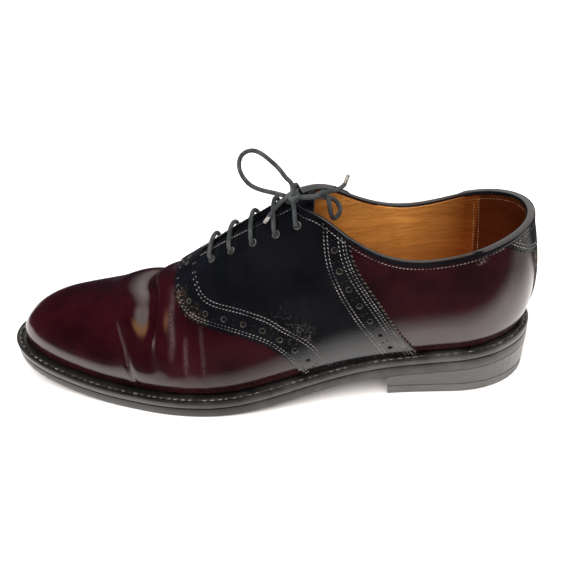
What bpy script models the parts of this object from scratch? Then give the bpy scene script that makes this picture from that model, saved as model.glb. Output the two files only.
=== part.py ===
"""A left saddle oxford, empty and laced, standing on its sole.

Metres, +Z up. The toe points to -X and the outer side of the foot is towards -Y.
The last is a set of sections from heel to toe. Every leather piece is read from that one
function, at its own distance from the surface, so the pieces stay fitted to each other.
"""

import math
from collections import namedtuple

import bmesh
import bpy
import numpy as np
from mathutils import Vector

# Driving sizes of the last, measured on the feather line where the upper meets the welt.
LAST_LENGTH = 0.2950
BALL_WIDTH = 0.0930
INSTEP_HEIGHT = 0.0700
HEEL_ROUND = 0.0400
HEEL_SQUARENESS = 2.12
TOE_ROUND = 0.0700
TOE_SQUARENESS = 2.15
TOE_BOX = 0.0330
TOE_BOX_SQUARENESS = 2.3
BELLY_HEIGHT = 0.0300

# Sole, welt and heel.
SOLE_THICK = 0.0060
WELT_THICK = 0.0042
WELT_MARGIN = 0.0068
WELT_MARGIN_HEEL = 0.0050
WELT_TUCK = 0.0070
EDGE_ROUND = 0.0008
HEEL_LENGTH = 0.0800
HEEL_RISE_FRONT = 0.0135
HEEL_RISE_BACK = 0.0196
TOP_PIECE_THICK = 0.0055
HEEL_TAPER = 0.0010
BREAST_HOLLOW = 0.0030
TREAD_START = 0.60
TREAD_END = 0.74
TOE_SPRING = 0.0112
INSOLE_THICK = 0.0035
INSOLE_CLEARANCE = 0.0008

# Leather, its laps and the gaps between pieces.
WALL = 0.0022
OVERLAY_THICK = 0.0013
FIT_GAP = 0.0003
BINDING_ACROSS = 0.0021
BINDING_TALL = 0.0016
BACK_STRIP_WIDTH = 0.0080

# Topline and throat.
BACK_HEIGHT = 0.0640
MEDIAL_TOPLINE_RAISE = 0.0015
CORNER_SHARE = 0.399
THROAT_FRONT = 0.593
THROAT_GAP_FRONT = 0.0040
THROAT_GAP_TOP = 0.0120
CORNER_ROUND = 0.05

# Lacing.
EYELET_PAIRS = 5
EYELET_PITCH = 0.0142
EYELET_FIRST = 0.0130
EYELET_INSET = 0.0088
EYELET_RADIUS = 0.0019
LACE_DIAMETER = 0.0024
BAR_ARCH = 0.0006
BAR_DEPTH = 0.0012
BAR_STEPS = 12
LACE_GAP = 0.0005
KNOT_INSET = 0.0066
KNOT_HEIGHT = 0.0050
KNOT_ALONG = 0.0036
KNOT_ACROSS = 0.0034
KNOT_TALL = 0.0028
TIP_DIAMETER = 0.0021

# Tongue.
TONGUE_THICK = 0.0018
TONGUE_GAP = 0.0014
TONGUE_WIDTH = 0.0420
TONGUE_TUCK = 0.0180
TONGUE_RISE = 0.0055

LATERAL = -1
MEDIAL = 1

Section = namedtuple("Section", "share half_width swing ridge lean fullness belly")
# share runs from the heel (0) to the toe (1). half_width, swing, lean and belly are shares of
# BALL_WIDTH, ridge is a share of INSTEP_HEIGHT above the feather line. swing and lean are
# positive towards the big toe. fullness is the exponent of the section's superellipse.
SECTIONS = (
    Section(0.00, 0.335, 0.000, 1.75, 0.000, 2.70, 0.062),
    Section(0.12, 0.338, 0.000, 1.72, 0.000, 2.65, 0.045),
    Section(0.22, 0.332, -0.010, 1.62, 0.000, 2.45, 0.040),
    Section(0.32, 0.326, -0.041, 1.48, 0.010, 2.20, 0.040),
    Section(0.42, 0.346, -0.076, 1.28, 0.030, 2.05, 0.040),
    Section(0.52, 0.394, -0.094, 1.10, 0.055, 2.00, 0.032),
    Section(0.60, 0.440, -0.065, 0.89, 0.065, 2.05, 0.022),
    Section(0.68, 0.468, -0.010, 0.67, 0.050, 2.15, 0.016),
    Section(0.77, 0.451, 0.046, 0.54, 0.025, 2.30, 0.014),
    Section(0.88, 0.394, 0.060, 0.45, 0.005, 2.45, 0.012),
    Section(1.00, 0.340, 0.024, 0.33, 0.000, 2.50, 0.012),
)

Topline = namedtuple("Topline", "share height")
# Height of the collar edge above the feather line, as a share of BACK_HEIGHT. Past the last
# rows it rises above the instep, where the throat takes over.
TOPLINE = (
    Topline(0.000, 1.000),
    Topline(0.070, 0.945),
    Topline(0.150, 0.885),
    Topline(0.230, 0.910),
    Topline(0.310, 1.120),
    Topline(0.370, 1.340),
    Topline(0.410, 1.420),
    Topline(0.460, 1.760),
)

# Rows of the grid along the last, from heel to toe, and points up each side.
COLLAR_ROWS = 17
THROAT_ROWS = 10
VAMP_ROWS = 13
WALL_POINTS = 11


def spline(shares, values):
    """Natural cubic curve through the values, as a function of the share."""
    x = np.array(shares, float)
    y = np.array(values, float)
    step = np.diff(x)
    count = len(x)
    system = np.eye(count)
    right = np.zeros(count)
    for i in range(1, count - 1):
        system[i, i - 1] = step[i - 1]
        system[i, i] = 2 * (step[i - 1] + step[i])
        system[i, i + 1] = step[i]
        right[i] = 6 * ((y[i + 1] - y[i]) / step[i] - (y[i] - y[i - 1]) / step[i - 1])
    bend = np.linalg.solve(system, right)

    def at(share):
        i = int(np.clip(np.searchsorted(x, share) - 1, 0, count - 2))
        a = x[i + 1] - share
        b = share - x[i]
        curve = (bend[i] * a**3 + bend[i + 1] * b**3) / (6 * step[i])
        first = (y[i] / step[i] - bend[i] * step[i] / 6) * a
        second = (y[i + 1] / step[i] - bend[i + 1] * step[i] / 6) * b
        return float(curve + first + second)

    return at


SHARES = [row.share for row in SECTIONS]
section_half_width = spline(SHARES, [row.half_width * BALL_WIDTH for row in SECTIONS])
section_swing = spline(SHARES, [row.swing * BALL_WIDTH for row in SECTIONS])
section_ridge = spline(SHARES, [row.ridge * INSTEP_HEIGHT for row in SECTIONS])
section_lean = spline(SHARES, [row.lean * BALL_WIDTH for row in SECTIONS])
section_fullness = spline(SHARES, [row.fullness for row in SECTIONS])
section_belly = spline(SHARES, [row.belly * BALL_WIDTH for row in SECTIONS])
topline_height = spline(
    [row.share for row in TOPLINE], [row.height * BACK_HEIGHT for row in TOPLINE]
)


def rounded(distance, reach, squareness):
    """Rises from 0 at an end of the last to 1 at reach from it, as a superellipse does."""
    left = max(0.0, 1 - distance / reach)
    return (1 - left**squareness) ** (1 / squareness)


def half_width(share):
    behind = share * LAST_LENGTH
    ahead = (1 - share) * LAST_LENGTH
    ends = rounded(behind, HEEL_ROUND, HEEL_SQUARENESS) * rounded(ahead, TOE_ROUND, TOE_SQUARENESS)
    return section_half_width(share) * ends


def ridge_height(share):
    ahead = (1 - share) * LAST_LENGTH
    return section_ridge(share) * rounded(ahead, TOE_BOX, TOE_BOX_SQUARENESS)


def along(turn):
    """Share of the length at a turn from 0 at the heel to 1 at the toe, denser at both ends."""
    return (1 - math.cos(math.pi * turn)) / 2


def turn_of(share):
    return math.acos(1 - 2 * share) / math.pi


def feather_x(share):
    return HEEL_X - share * LAST_LENGTH


def sole_bottom(x):
    """Height of the sole's underside above the floor: heel seat, shank, flat tread, toe spring."""
    share = (HEEL_X - x) / LAST_LENGTH
    seat = HEEL_BREAST_SHARE
    slope = (HEEL_RISE_FRONT - HEEL_RISE_BACK) / seat
    if share < seat:
        return HEEL_RISE_BACK + slope * share
    if share < TREAD_START:
        reach = TREAD_START - seat
        s = (share - seat) / reach
        return HEEL_RISE_FRONT * (2 * s**3 - 3 * s**2 + 1) + slope * reach * (s**3 - 2 * s**2 + s)
    if share < TREAD_END:
        return 0.0
    return TOE_SPRING * ((share - TREAD_END) / (1 - TREAD_END)) ** 2


def feather_z(x):
    return sole_bottom(x) + SOLE_THICK + WELT_THICK + 2 * FIT_GAP


def plan_point(turn, side):
    """Feather line in plan."""
    share = along(turn)
    return np.array([feather_x(share), SIDE_SHIFT + section_swing(share) + side * half_width(share)])


def plan_normal(turn, side):
    """Unit vector in plan that points out of the last, square to the feather line."""
    if turn <= 0:
        return np.array([1.0, 0.0])
    if turn >= 1:
        return np.array([-1.0, 0.0])
    step = min(1e-3, turn / 2, (1 - turn) / 2)
    tangent = plan_point(turn + step, side) - plan_point(turn - step, side)
    normal = np.array([tangent[1], -tangent[0]]) * side
    return normal / np.linalg.norm(normal)


def last_point(turn, side, rise):
    """A point of the last's surface. rise is the angle up the section, from 0 at the feather
    line to a right angle at the ridge."""
    share = along(turn)
    foot = plan_point(turn, side)
    fullness = section_fullness(share)
    closing = 1 - max(0.0, math.cos(rise)) ** (2 / fullness)
    spine_x = min(foot[0], HEEL_X - HEEL_ROUND)
    spine = np.array([spine_x, SIDE_SHIFT + section_swing(share)])
    lean = section_lean(share) * math.sin(rise) ** 2
    height = ridge_height(share) * math.sin(rise)
    swell = height / BELLY_HEIGHT * math.exp(1 - height / BELLY_HEIGHT) * math.cos(rise)
    plan = foot + (spine - foot) * closing + plan_normal(turn, side) * section_belly(share) * swell
    return np.array([plan[0], plan[1] + lean, feather_z(foot[0]) + height])


def last_normal(turn, side, rise):
    """Unit outward normal of the last's surface."""
    step = 1e-3
    up = last_point(turn, side, min(rise + step, math.pi / 2)) - last_point(
        turn, side, max(rise - step, 0.0)
    )
    if turn >= 1:
        return np.array([-1.0, 0.0, 0.0])
    if rise <= 0:
        return np.append(plan_normal(turn, side), 0.0)
    if rise >= math.pi / 2 - step:
        up = np.array([0.0, -float(side), 0.0])
    if turn <= 0:
        forward = np.array([0.0, float(side), 0.0])
    else:
        turn_step = min(step, turn / 2, (1 - turn) / 2)
        forward = last_point(turn + turn_step, side, rise) - last_point(
            turn - turn_step, side, rise
        )
    normal = np.cross(forward, up) * side
    return normal / np.linalg.norm(normal)


def offset_point(turn, side, rise, offset):
    return last_point(turn, side, rise) + last_normal(turn, side, rise) * offset


def throat_gap(share):
    """Width of the throat between the facings, wider towards the top."""
    s = np.clip((THROAT_FRONT - share) / (THROAT_FRONT - CORNER_SHARE), 0.0, 1.0)
    return THROAT_GAP_FRONT + (THROAT_GAP_TOP - THROAT_GAP_FRONT) * s


def is_closed(turn):
    """Whether the upper is whole across the ridge here, ahead of the throat."""
    return turn > THROAT_TURN - 1e-6


def rise_at_inset(turn, inset):
    """The rise of the point that lies this far from the ridge, measured across the last."""
    share = along(turn)
    across = min(1.0, inset / half_width(share))
    return math.acos(across ** (section_fullness(share) / 2))


def collar_rise(turn, side):
    """How far up the section the collar's edge lies. Ahead of the collar it is past the ridge."""
    share = along(turn)
    height = topline_height(min(share, TOPLINE[-1].share))
    if side == MEDIAL:
        height += MEDIAL_TOPLINE_RAISE * math.sin(math.pi * min(1.0, share / CORNER_SHARE))
    if share > TOPLINE[-1].share or height >= ridge_height(share):
        return math.pi
    return math.asin(height / ridge_height(share))


def top_rise(turn, side):
    """Rise of the upper's top edge: collar, rounded corner, facing edge, then the ridge."""
    if is_closed(turn):
        return math.pi / 2
    collar = collar_rise(turn, side)
    if along(turn) < CORNER_SHARE / 2:
        return collar
    facing = rise_at_inset(turn, throat_gap(along(turn)) / 2)
    near = np.clip(0.5 + 0.5 * (facing - collar) / CORNER_ROUND, 0.0, 1.0)
    return float(facing + (collar - facing) * near - CORNER_ROUND * near * (1 - near))


def welt_margin(turn):
    """How far the welt's outer edge stands out of the feather line."""
    s = np.clip((along(turn) - 0.22) / 0.30, 0.0, 1.0)
    return WELT_MARGIN_HEEL + (WELT_MARGIN - WELT_MARGIN_HEEL) * s * s * (3 - 2 * s)


def edge_point(turn, side, margin, height_of):
    """A point this far outside the feather line in plan, at the height that height_of gives."""
    plan = plan_point(turn, side) + plan_normal(turn, side) * margin
    return np.array([plan[0], plan[1], height_of(plan[0])])


# Places worked out from the sizes. The feather line is set so that the whole shoe's box is
# centred on the origin.
HEEL_X = 0.0
SIDE_SHIFT = 0.0
COLLAR_TURN = turn_of(CORNER_SHARE)
THROAT_TURN = turn_of(THROAT_FRONT)
HEEL_BREAST_SHARE = (HEEL_LENGTH - WELT_MARGIN_HEEL) / LAST_LENGTH
BACK_REACH = max(
    WELT_MARGIN_HEEL,
    max(last_point(0.0, LATERAL, rise)[0] for rise in np.linspace(0.0, 0.6, 13))
    + FIT_GAP
    + OVERLAY_THICK,
)
HEEL_X = (LAST_LENGTH + WELT_MARGIN - BACK_REACH) / 2
SPREAD = [
    [edge_point(turn, side, welt_margin(turn), sole_bottom)[1] for turn in np.linspace(0, 1, 241)]
    for side in (LATERAL, MEDIAL)
]
SIDE_SHIFT = -(min(SPREAD[0]) + max(SPREAD[1])) / 2


class Builder:
    """Collects vertices and faces, and makes one vertex of points that coincide."""

    def __init__(self):
        self.mesh = bmesh.new()
        self.found = {}

    def vertex(self, point):
        key = tuple(int(round(float(c) * 1e7)) for c in point)
        if key not in self.found:
            self.found[key] = self.mesh.verts.new([float(c) for c in point])
        return self.found[key]

    def face(self, *points):
        corners = []
        for point in points:
            vertex = self.vertex(point)
            if vertex not in corners:
                corners.append(vertex)
        if len(corners) > 2:
            self.mesh.faces.new(corners)

    def bridge(self, first, second, closed=False):
        """Faces between two rows of points."""
        count = len(first)
        for i in range(count if closed else count - 1):
            k = (i + 1) % count
            self.face(first[i], first[k], second[k], second[i])

    def finish(self, name, colour, roughness, sharp_angle=40):
        bmesh.ops.recalc_face_normals(self.mesh, faces=self.mesh.faces)
        return add_object(name, self.mesh, colour, roughness, sharp_angle)


def add_object(name, mesh, colour, roughness, sharp_angle=40):
    data = bpy.data.meshes.new(name)
    mesh.to_mesh(data)
    mesh.free()
    data.shade_smooth()
    data.set_sharp_from_angle(angle=math.radians(sharp_angle))
    piece = bpy.data.objects.new(name, data)
    bpy.context.scene.collection.objects.link(piece)
    paint(piece, colour, roughness)
    return piece


def paint(piece, colour, roughness):
    finish = bpy.data.materials.new(piece.name)
    finish.use_nodes = True
    shader = finish.node_tree.nodes["Principled BSDF"]
    shader.inputs["Base Color"].default_value = (*colour, 1.0)
    shader.inputs["Roughness"].default_value = roughness
    shader.inputs["Metallic"].default_value = 0.0
    finish.diffuse_color = (*colour, 1.0)
    piece.data.materials.append(finish)


def cutter(name, mesh):
    """A helper that only cuts: it is left out of renders and drawn as wire."""
    bmesh.ops.recalc_face_normals(mesh, faces=mesh.faces)
    data = bpy.data.meshes.new(name)
    mesh.to_mesh(data)
    mesh.free()
    tool = bpy.data.objects.new(name, data)
    tool.hide_render = True
    tool.display_type = "WIRE"
    bpy.context.scene.collection.objects.link(tool)
    return tool


def cut(piece, tool, operation="DIFFERENCE"):
    modifier = piece.modifiers.new(tool.name, "BOOLEAN")
    modifier.operation = operation
    modifier.solver = "EXACT"
    modifier.object = tool


# Colours of the leathers, linear.
BURGUNDY = (0.030, 0.005, 0.007)
BLACK = (0.006, 0.006, 0.007)
EDGE_BLACK = (0.012, 0.012, 0.012)
TAN = (0.450, 0.210, 0.060)
LACE_BLACK = (0.010, 0.013, 0.014)


def rows_between(first, last, count):
    return [first + (last - first) * i / count for i in range(count)]


ALL_TURNS = (
    rows_between(0.0, COLLAR_TURN, COLLAR_ROWS)
    + rows_between(COLLAR_TURN, THROAT_TURN, THROAT_ROWS)
    + rows_between(THROAT_TURN, 1.0, VAMP_ROWS)
    + [1.0]
)


def wall_line(turn, side, offset):
    """Points up one side of the section, from the feather line to the upper's top edge."""
    top = top_rise(turn, side)
    return [
        offset_point(turn, side, top * j / (WALL_POINTS - 1), offset) for j in range(WALL_POINTS)
    ]


def add_shell(name, turns, inner, outer, colour, roughness):
    """A wall between two distances from the last, open below and at the throat and collar."""
    made = Builder()
    for side in (LATERAL, MEDIAL):
        inside = [wall_line(turn, side, inner) for turn in turns]
        outside = [wall_line(turn, side, outer) for turn in turns]
        for i in range(len(turns) - 1):
            made.bridge(inside[i], inside[i + 1])
            made.bridge(outside[i], outside[i + 1])
            made.face(inside[i][0], inside[i + 1][0], outside[i + 1][0], outside[i][0])
            if not is_closed(turns[i]):
                made.face(inside[i][-1], inside[i + 1][-1], outside[i + 1][-1], outside[i][-1])
        for end in (0, -1):
            if 0 < turns[end] < 1:
                made.bridge(inside[end], outside[end])
    return made.finish(name, colour, roughness)


def make_upper():
    """Vamp, quarters and their lining: one hollow wall of real leather thickness."""
    return add_shell("upper", ALL_TURNS, -WALL, 0.0, BURGUNDY, 0.3)


Border = namedtuple("Border", "share height")
# Edges of the overlays seen from the side. share is of the length from the heel, height is a
# share of INSTEP_HEIGHT above the feather line.
SADDLE_FRONT = (
    Border(0.654, 1.04),
    Border(0.650, 0.76),
    Border(0.636, 0.69),
    Border(0.606, 0.62),
    Border(0.562, 0.58),
    Border(0.512, 0.51),
    Border(0.464, 0.39),
    Border(0.427, 0.18),
    Border(0.409, 0.03),
    Border(0.398, -0.10),
)
SADDLE_REAR = (
    Border(0.314, 1.60),
    Border(0.314, 1.25),
    Border(0.313, 0.95),
    Border(0.292, 0.72),
    Border(0.259, 0.46),
    Border(0.226, 0.19),
    Border(0.203, 0.02),
    Border(0.192, -0.10),
)
HEEL_TAB = (
    Border(0.100, 1.14),
    Border(0.078, 0.94),
    Border(0.048, 0.83),
    Border(0.015, 0.71),
    Border(-0.02, 0.65),
    Border(-0.06, 0.64),
)
BORDER_STEPS = 4


def border_line(rows, shift=0.0):
    """The border as a smooth run of points in x and z, moved along by shift."""
    places = [i / (len(rows) - 1) for i in range(len(rows))]
    share_at = spline(places, [row.share for row in rows])
    height_at = spline(places, [row.height * INSTEP_HEIGHT for row in rows])
    line = []
    count = (len(rows) - 1) * BORDER_STEPS
    for i in range(count + 1):
        x = feather_x(share_at(i / count)) + shift
        line.append((x, feather_z(x) + height_at(i / count)))
    return line


def add_prism(name, outline):
    """A cutter: the outline seen from the side, carried right across the shoe."""
    reach = 2 * BALL_WIDTH
    mesh = bmesh.new()
    corners = [mesh.verts.new((x, -reach, z)) for x, z in outline]
    base = mesh.faces.new(corners)
    swept = bmesh.ops.extrude_face_region(mesh, geom=[base])
    moved = [v for v in swept["geom"] if isinstance(v, bmesh.types.BMVert)]
    bmesh.ops.translate(mesh, verts=moved, vec=(0, 2 * reach, 0))
    return cutter(name, mesh)


def turns_within(low, high):
    """The grid's rows that cover these shares, with one more row at each end."""
    inside = [i for i, turn in enumerate(ALL_TURNS) if low <= along(turn) <= high]
    return ALL_TURNS[max(0, inside[0] - 1) : inside[-1] + 2]


def make_saddle(punch):
    """The black saddle: one overlay from welt to welt, open at the throat."""
    turns = turns_within(0.19, 0.66)
    piece = add_shell("saddle", turns, FIT_GAP, FIT_GAP + OVERLAY_THICK, BLACK, 0.35)
    outline = border_line(SADDLE_FRONT) + list(reversed(border_line(SADDLE_REAR)))
    cut(piece, add_prism("saddle_pattern", outline), "INTERSECT")
    cut(piece, punch)
    return piece


def make_heel_tab():
    """The small black tab that wraps the heel under the topline."""
    turns = turns_within(0.0, 0.11)
    piece = add_shell("heel_tab", turns, FIT_GAP, FIT_GAP + OVERLAY_THICK, BLACK, 0.35)
    low = border_line(HEEL_TAB)
    outline = low + [(low[-1][0], low[0][1])]
    cut(piece, add_prism("heel_tab_pattern", outline), "INTERSECT")
    return piece


def make_back_strip():
    """The narrow strip that covers the seam at the back of the heel."""
    turns = turns_within(0.0, 0.02)
    piece = add_shell("back_strip", turns, FIT_GAP, FIT_GAP + OVERLAY_THICK, BLACK, 0.4)
    top = HEEL_TAB[-1].height * INSTEP_HEIGHT + feather_z(HEEL_X) - FIT_GAP
    bottom = feather_z(HEEL_X) - 2 * WELT_THICK
    mesh = bmesh.new()
    bmesh.ops.create_cube(mesh, size=1.0)
    bmesh.ops.scale(mesh, verts=mesh.verts, vec=(HEEL_ROUND, BACK_STRIP_WIDTH, top - bottom))
    middle = (HEEL_X, SIDE_SHIFT + section_swing(0.0), (top + bottom) / 2)
    bmesh.ops.translate(mesh, verts=mesh.verts, vec=middle)
    cut(piece, cutter("back_strip_pattern", mesh), "INTERSECT")
    return piece


def edge_frame(turn, side):
    """Middle of the upper's top rim, the way up along the wall and the way out of it."""
    top = top_rise(turn, side)
    normal = last_normal(turn, side, top)
    up = last_point(turn, side, top) - last_point(turn, side, top - 0.02)
    up = up / np.linalg.norm(up)
    return last_point(turn, side, top), up, normal


def make_topline_binding():
    """The rolled black edge along the collar, from one facing's corner round to the other."""
    made = Builder()
    collar = [turn for turn in ALL_TURNS if turn <= COLLAR_TURN]
    path = [(turn, LATERAL) for turn in reversed(collar)] + [(turn, MEDIAL) for turn in collar[1:]]
    rings = []
    corners = 10
    for turn, side in path:
        rim, up, out = edge_frame(turn, side)
        middle = rim + out * (BINDING_ACROSS - WALL) + up * (BINDING_TALL + FIT_GAP)
        ring = []
        for k in range(corners):
            angle = 2 * math.pi * (k + 0.5) / corners
            ring.append(
                middle
                + out * BINDING_ACROSS * math.cos(angle)
                + up * BINDING_TALL * math.sin(angle)
            )
        rings.append(ring)
    for i in range(len(rings) - 1):
        made.bridge(rings[i], rings[i + 1], closed=True)
    made.face(*rings[0])
    made.face(*rings[-1])
    return made.finish("topline_binding", BLACK, 0.3)


SOLE_ROWS = 34
SOLE_TURNS = [i / SOLE_ROWS for i in range(SOLE_ROWS + 1)]


def sole_top(x):
    return sole_bottom(x) + SOLE_THICK


def welt_top(x):
    return sole_top(x) + FIT_GAP + WELT_THICK


def outline_ring(turns, margin_of, height_of):
    """Lateral and medial points of one level, row by row."""
    return [
        [edge_point(turn, side, margin_of(turn), height_of) for turn in turns]
        for side in (LATERAL, MEDIAL)
    ]


def add_slab(name, turns, levels, colour, roughness):
    """A solid through the levels, bottom to top, each with its own margin and height."""
    made = Builder()
    rings = [outline_ring(turns, margin_of, height_of) for margin_of, height_of in levels]
    for below, above in zip(rings, rings[1:]):
        for lower, upper in zip(below, above):
            made.bridge(lower, upper)
        if turns[-1] < 1:
            made.face(below[0][-1], below[1][-1], above[1][-1], above[0][-1])
    for cap in (rings[0], rings[-1]):
        made.bridge(cap[0], cap[1])
    return made.finish(name, colour, roughness)


def add_edge_ring(name, turns, profile, colour, roughness):
    """A closed loop that follows the feather line. profile lists (margin_of, height_of)."""
    made = Builder()
    loop = [(turn, LATERAL) for turn in turns] + [(turn, MEDIAL) for turn in turns[-2:0:-1]]
    sections = [
        [edge_point(turn, side, margin_of(turn), height_of) for margin_of, height_of in profile]
        for turn, side in loop
    ]
    for i in range(len(sections)):
        made.bridge(sections[i], sections[(i + 1) % len(sections)], closed=True)
    return made.finish(name, colour, roughness)


def raised(height_of, lift):
    return lambda x: height_of(x) + lift


def widened(margin_of, extra):
    return lambda turn: margin_of(turn) + extra


def steady(margin):
    return lambda turn: margin


def make_outsole():
    """The leather sole, heel seat to toe, with its edges eased."""
    inner = widened(welt_margin, -EDGE_ROUND)
    levels = [
        (inner, sole_bottom),
        (welt_margin, raised(sole_bottom, EDGE_ROUND)),
        (welt_margin, raised(sole_top, -EDGE_ROUND / 2)),
        (widened(welt_margin, -EDGE_ROUND / 2), sole_top),
    ]
    return add_slab("outsole", SOLE_TURNS, levels, EDGE_BLACK, 0.4)


def make_welt():
    """The stitched strip that runs all round between the upper and the sole."""
    foot = raised(sole_top, FIT_GAP)
    profile = [
        (steady(-WELT_TUCK), foot),
        (widened(welt_margin, -EDGE_ROUND / 2), foot),
        (welt_margin, raised(foot, EDGE_ROUND / 2)),
        (welt_margin, raised(welt_top, -EDGE_ROUND)),
        (widened(welt_margin, -EDGE_ROUND), welt_top),
        (steady(-WELT_TUCK), welt_top),
    ]
    return add_edge_ring("welt", SOLE_TURNS, profile, EDGE_BLACK, 0.45)


def make_insole():
    """The insole board: it fills the welt's opening and lies inside the upper's walls."""
    floor = raised(welt_top, FIT_GAP)
    plug = steady(-WELT_TUCK - FIT_GAP)
    wide = steady(-WALL - INSOLE_CLEARANCE)
    levels = [
        (plug, raised(sole_top, FIT_GAP)),
        (plug, floor),
        (wide, floor),
        (wide, raised(floor, INSOLE_THICK)),
    ]
    return add_slab("insole", SOLE_TURNS, levels, TAN, 0.6)


def breast_cutter(name):
    """A tall drum ahead of the heel: its side leaves the hollow front face of the heel."""
    half = section_half_width(HEEL_BREAST_SHARE) + WELT_MARGIN_HEEL
    radius = (half**2 + BREAST_HOLLOW**2) / (2 * BREAST_HOLLOW)
    tall = 2 * HEEL_RISE_BACK
    mesh = bmesh.new()
    bmesh.ops.create_cone(
        mesh, cap_ends=True, segments=96, radius1=radius, radius2=radius, depth=2 * tall
    )
    front = feather_x(HEEL_BREAST_SHARE) + BREAST_HOLLOW
    middle = (front - radius, SIDE_SHIFT + section_swing(HEEL_BREAST_SHARE), 0.0)
    bmesh.ops.translate(mesh, verts=mesh.verts, vec=middle)
    return cutter(name, mesh)


def heel_margin(turn, height):
    """The heel narrows a little from the sole down to the floor."""
    down = 1 - height / HEEL_RISE_BACK
    return welt_margin(turn) - HEEL_TAPER * down


def add_heel_part(name, low, high, height_of, colour, roughness):
    """One layer of the heel between the height low and the surface height_of."""
    front = turn_of(HEEL_BREAST_SHARE + BREAST_HOLLOW * 3 / LAST_LENGTH)
    turns = [front * i / 18 for i in range(19)]
    round_low = EDGE_ROUND / 2
    levels = [
        (lambda turn: heel_margin(turn, low) - round_low, lambda x: low),
        (lambda turn: heel_margin(turn, low), lambda x: low + round_low),
        (lambda turn: heel_margin(turn, high), lambda x: height_of(x) - round_low),
        (lambda turn: heel_margin(turn, high) - round_low, height_of),
    ]
    piece = add_slab(name, turns, levels, colour, roughness)
    cut(piece, breast_cutter(name + "_breast"))
    return piece


def make_heel_stack():
    """The stacked leather lifts under the heel seat."""
    low = TOP_PIECE_THICK + FIT_GAP
    top = raised(sole_bottom, -FIT_GAP)
    return add_heel_part("heel_stack", low, HEEL_RISE_BACK, top, EDGE_BLACK, 0.4)


def make_heel_top_piece():
    """The rubber piece that the heel stands on."""
    top = TOP_PIECE_THICK
    return add_heel_part("heel_top_piece", 0.0, top, lambda x: top, EDGE_BLACK, 0.6)


def make_tongue():
    """The tongue, under the facings and up past their corners."""
    made = Builder()
    first = turn_of(THROAT_FRONT + TONGUE_TUCK / LAST_LENGTH)
    last = turn_of(CORNER_SHARE - TONGUE_RISE / LAST_LENGTH)
    turns = [last] + [turn for turn in ALL_TURNS if last + 0.004 < turn < first - 0.004] + [first]
    columns = 6
    layers = []
    for offset in (-WALL - TONGUE_GAP, -WALL - TONGUE_GAP - TONGUE_THICK):
        lines = []
        for turn in turns:
            narrowing = min(1.0, 0.72 + (turn - last) * 14, 0.45 + (first - turn) * 14)
            half = min(TONGUE_WIDTH / 2 * narrowing, half_width(along(turn)) * 0.80)
            line = []
            for j in range(-columns, columns + 1):
                side = LATERAL if j < 0 else MEDIAL
                rise = rise_at_inset(turn, half * abs(j) / columns)
                line.append(offset_point(turn, side, rise, offset))
            lines.append(line)
        layers.append(lines)
    outside, inside = layers
    for lines in layers:
        for i in range(len(turns) - 1):
            made.bridge(lines[i], lines[i + 1])
    for i in range(len(turns) - 1):
        made.face(outside[i][0], outside[i + 1][0], inside[i + 1][0], inside[i][0])
        made.face(outside[i][-1], outside[i + 1][-1], inside[i + 1][-1], inside[i][-1])
    made.bridge(outside[0], inside[0])
    made.bridge(outside[-1], inside[-1])
    return made.finish("tongue", BLACK, 0.4)


def eyelet_places():
    """(turn, rise) of each pair of eyelets, from the throat's front to the top."""
    turns = np.linspace(THROAT_TURN, COLLAR_TURN, 161)
    edge = [last_point(turn, LATERAL, top_rise(turn, LATERAL)) for turn in turns]
    lengths = [0.0]
    for a, b in zip(edge, edge[1:]):
        lengths.append(lengths[-1] + float(np.linalg.norm(b - a)))
    places = []
    for k in range(EYELET_PAIRS):
        turn = float(np.interp(EYELET_FIRST + EYELET_PITCH * k, lengths, turns))
        places.append((turn, rise_at_inset(turn, eyelet_inset(turn))))
    return places


def eyelet_inset(turn):
    """How far an eyelet's middle lies from the ridge, across the shoe."""
    return throat_gap(along(turn)) / 2 + EYELET_INSET


def make_eyelet_punch():
    """Cutter for the lace holes: a pin through the leather at each eyelet."""
    mesh = bmesh.new()
    depth = 4 * (WALL + OVERLAY_THICK)
    for turn, rise in eyelet_places():
        for side in (LATERAL, MEDIAL):
            middle = Vector(offset_point(turn, side, rise, 0.0))
            normal = Vector(last_normal(turn, side, rise))
            made = bmesh.ops.create_cone(
                mesh,
                cap_ends=True,
                segments=12,
                radius1=EYELET_RADIUS,
                radius2=EYELET_RADIUS,
                depth=depth,
            )
            turned = normal.to_track_quat("Z", "Y").to_matrix()
            bmesh.ops.rotate(mesh, verts=made["verts"], cent=(0, 0, 0), matrix=turned)
            bmesh.ops.translate(mesh, verts=made["verts"], vec=middle)
    return cutter("eyelet_punch", mesh)


def smooth_route(points, steps):
    """A smooth run of points through the route's own points."""
    points = [np.array(p, float) for p in points]
    places = [0.0]
    for a, b in zip(points, points[1:]):
        places.append(places[-1] + float(np.linalg.norm(b - a)))
    curves = [spline(places, [p[axis] for p in points]) for axis in range(3)]
    return [[curve(places[-1] * i / steps) for curve in curves] for i in range(steps + 1)]


def add_cord(name, route, diameter):
    """A round cord along the route, with closed ends."""
    data = bpy.data.curves.new(name, "CURVE")
    data.dimensions = "3D"
    line = data.splines.new("POLY")
    line.points.add(len(route) - 1)
    for spot, point in zip(line.points, route):
        spot.co = (*point, 1.0)
    data.bevel_depth = diameter / 2
    data.bevel_resolution = 2
    data.use_fill_caps = True
    piece = bpy.data.objects.new(name, data)
    bpy.context.scene.collection.objects.link(piece)
    paint(piece, LACE_BLACK, 0.8)
    return piece


BAR_LOW = OVERLAY_THICK + 2 * FIT_GAP + LACE_DIAMETER / 2
BAR_HIGH = BAR_LOW + BAR_ARCH


def over_facing(turn, side, inset, height):
    """A point this far from the ridge, across the shoe, and this far above the upper."""
    return offset_point(turn, side, rise_at_inset(turn, inset), height)


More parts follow.
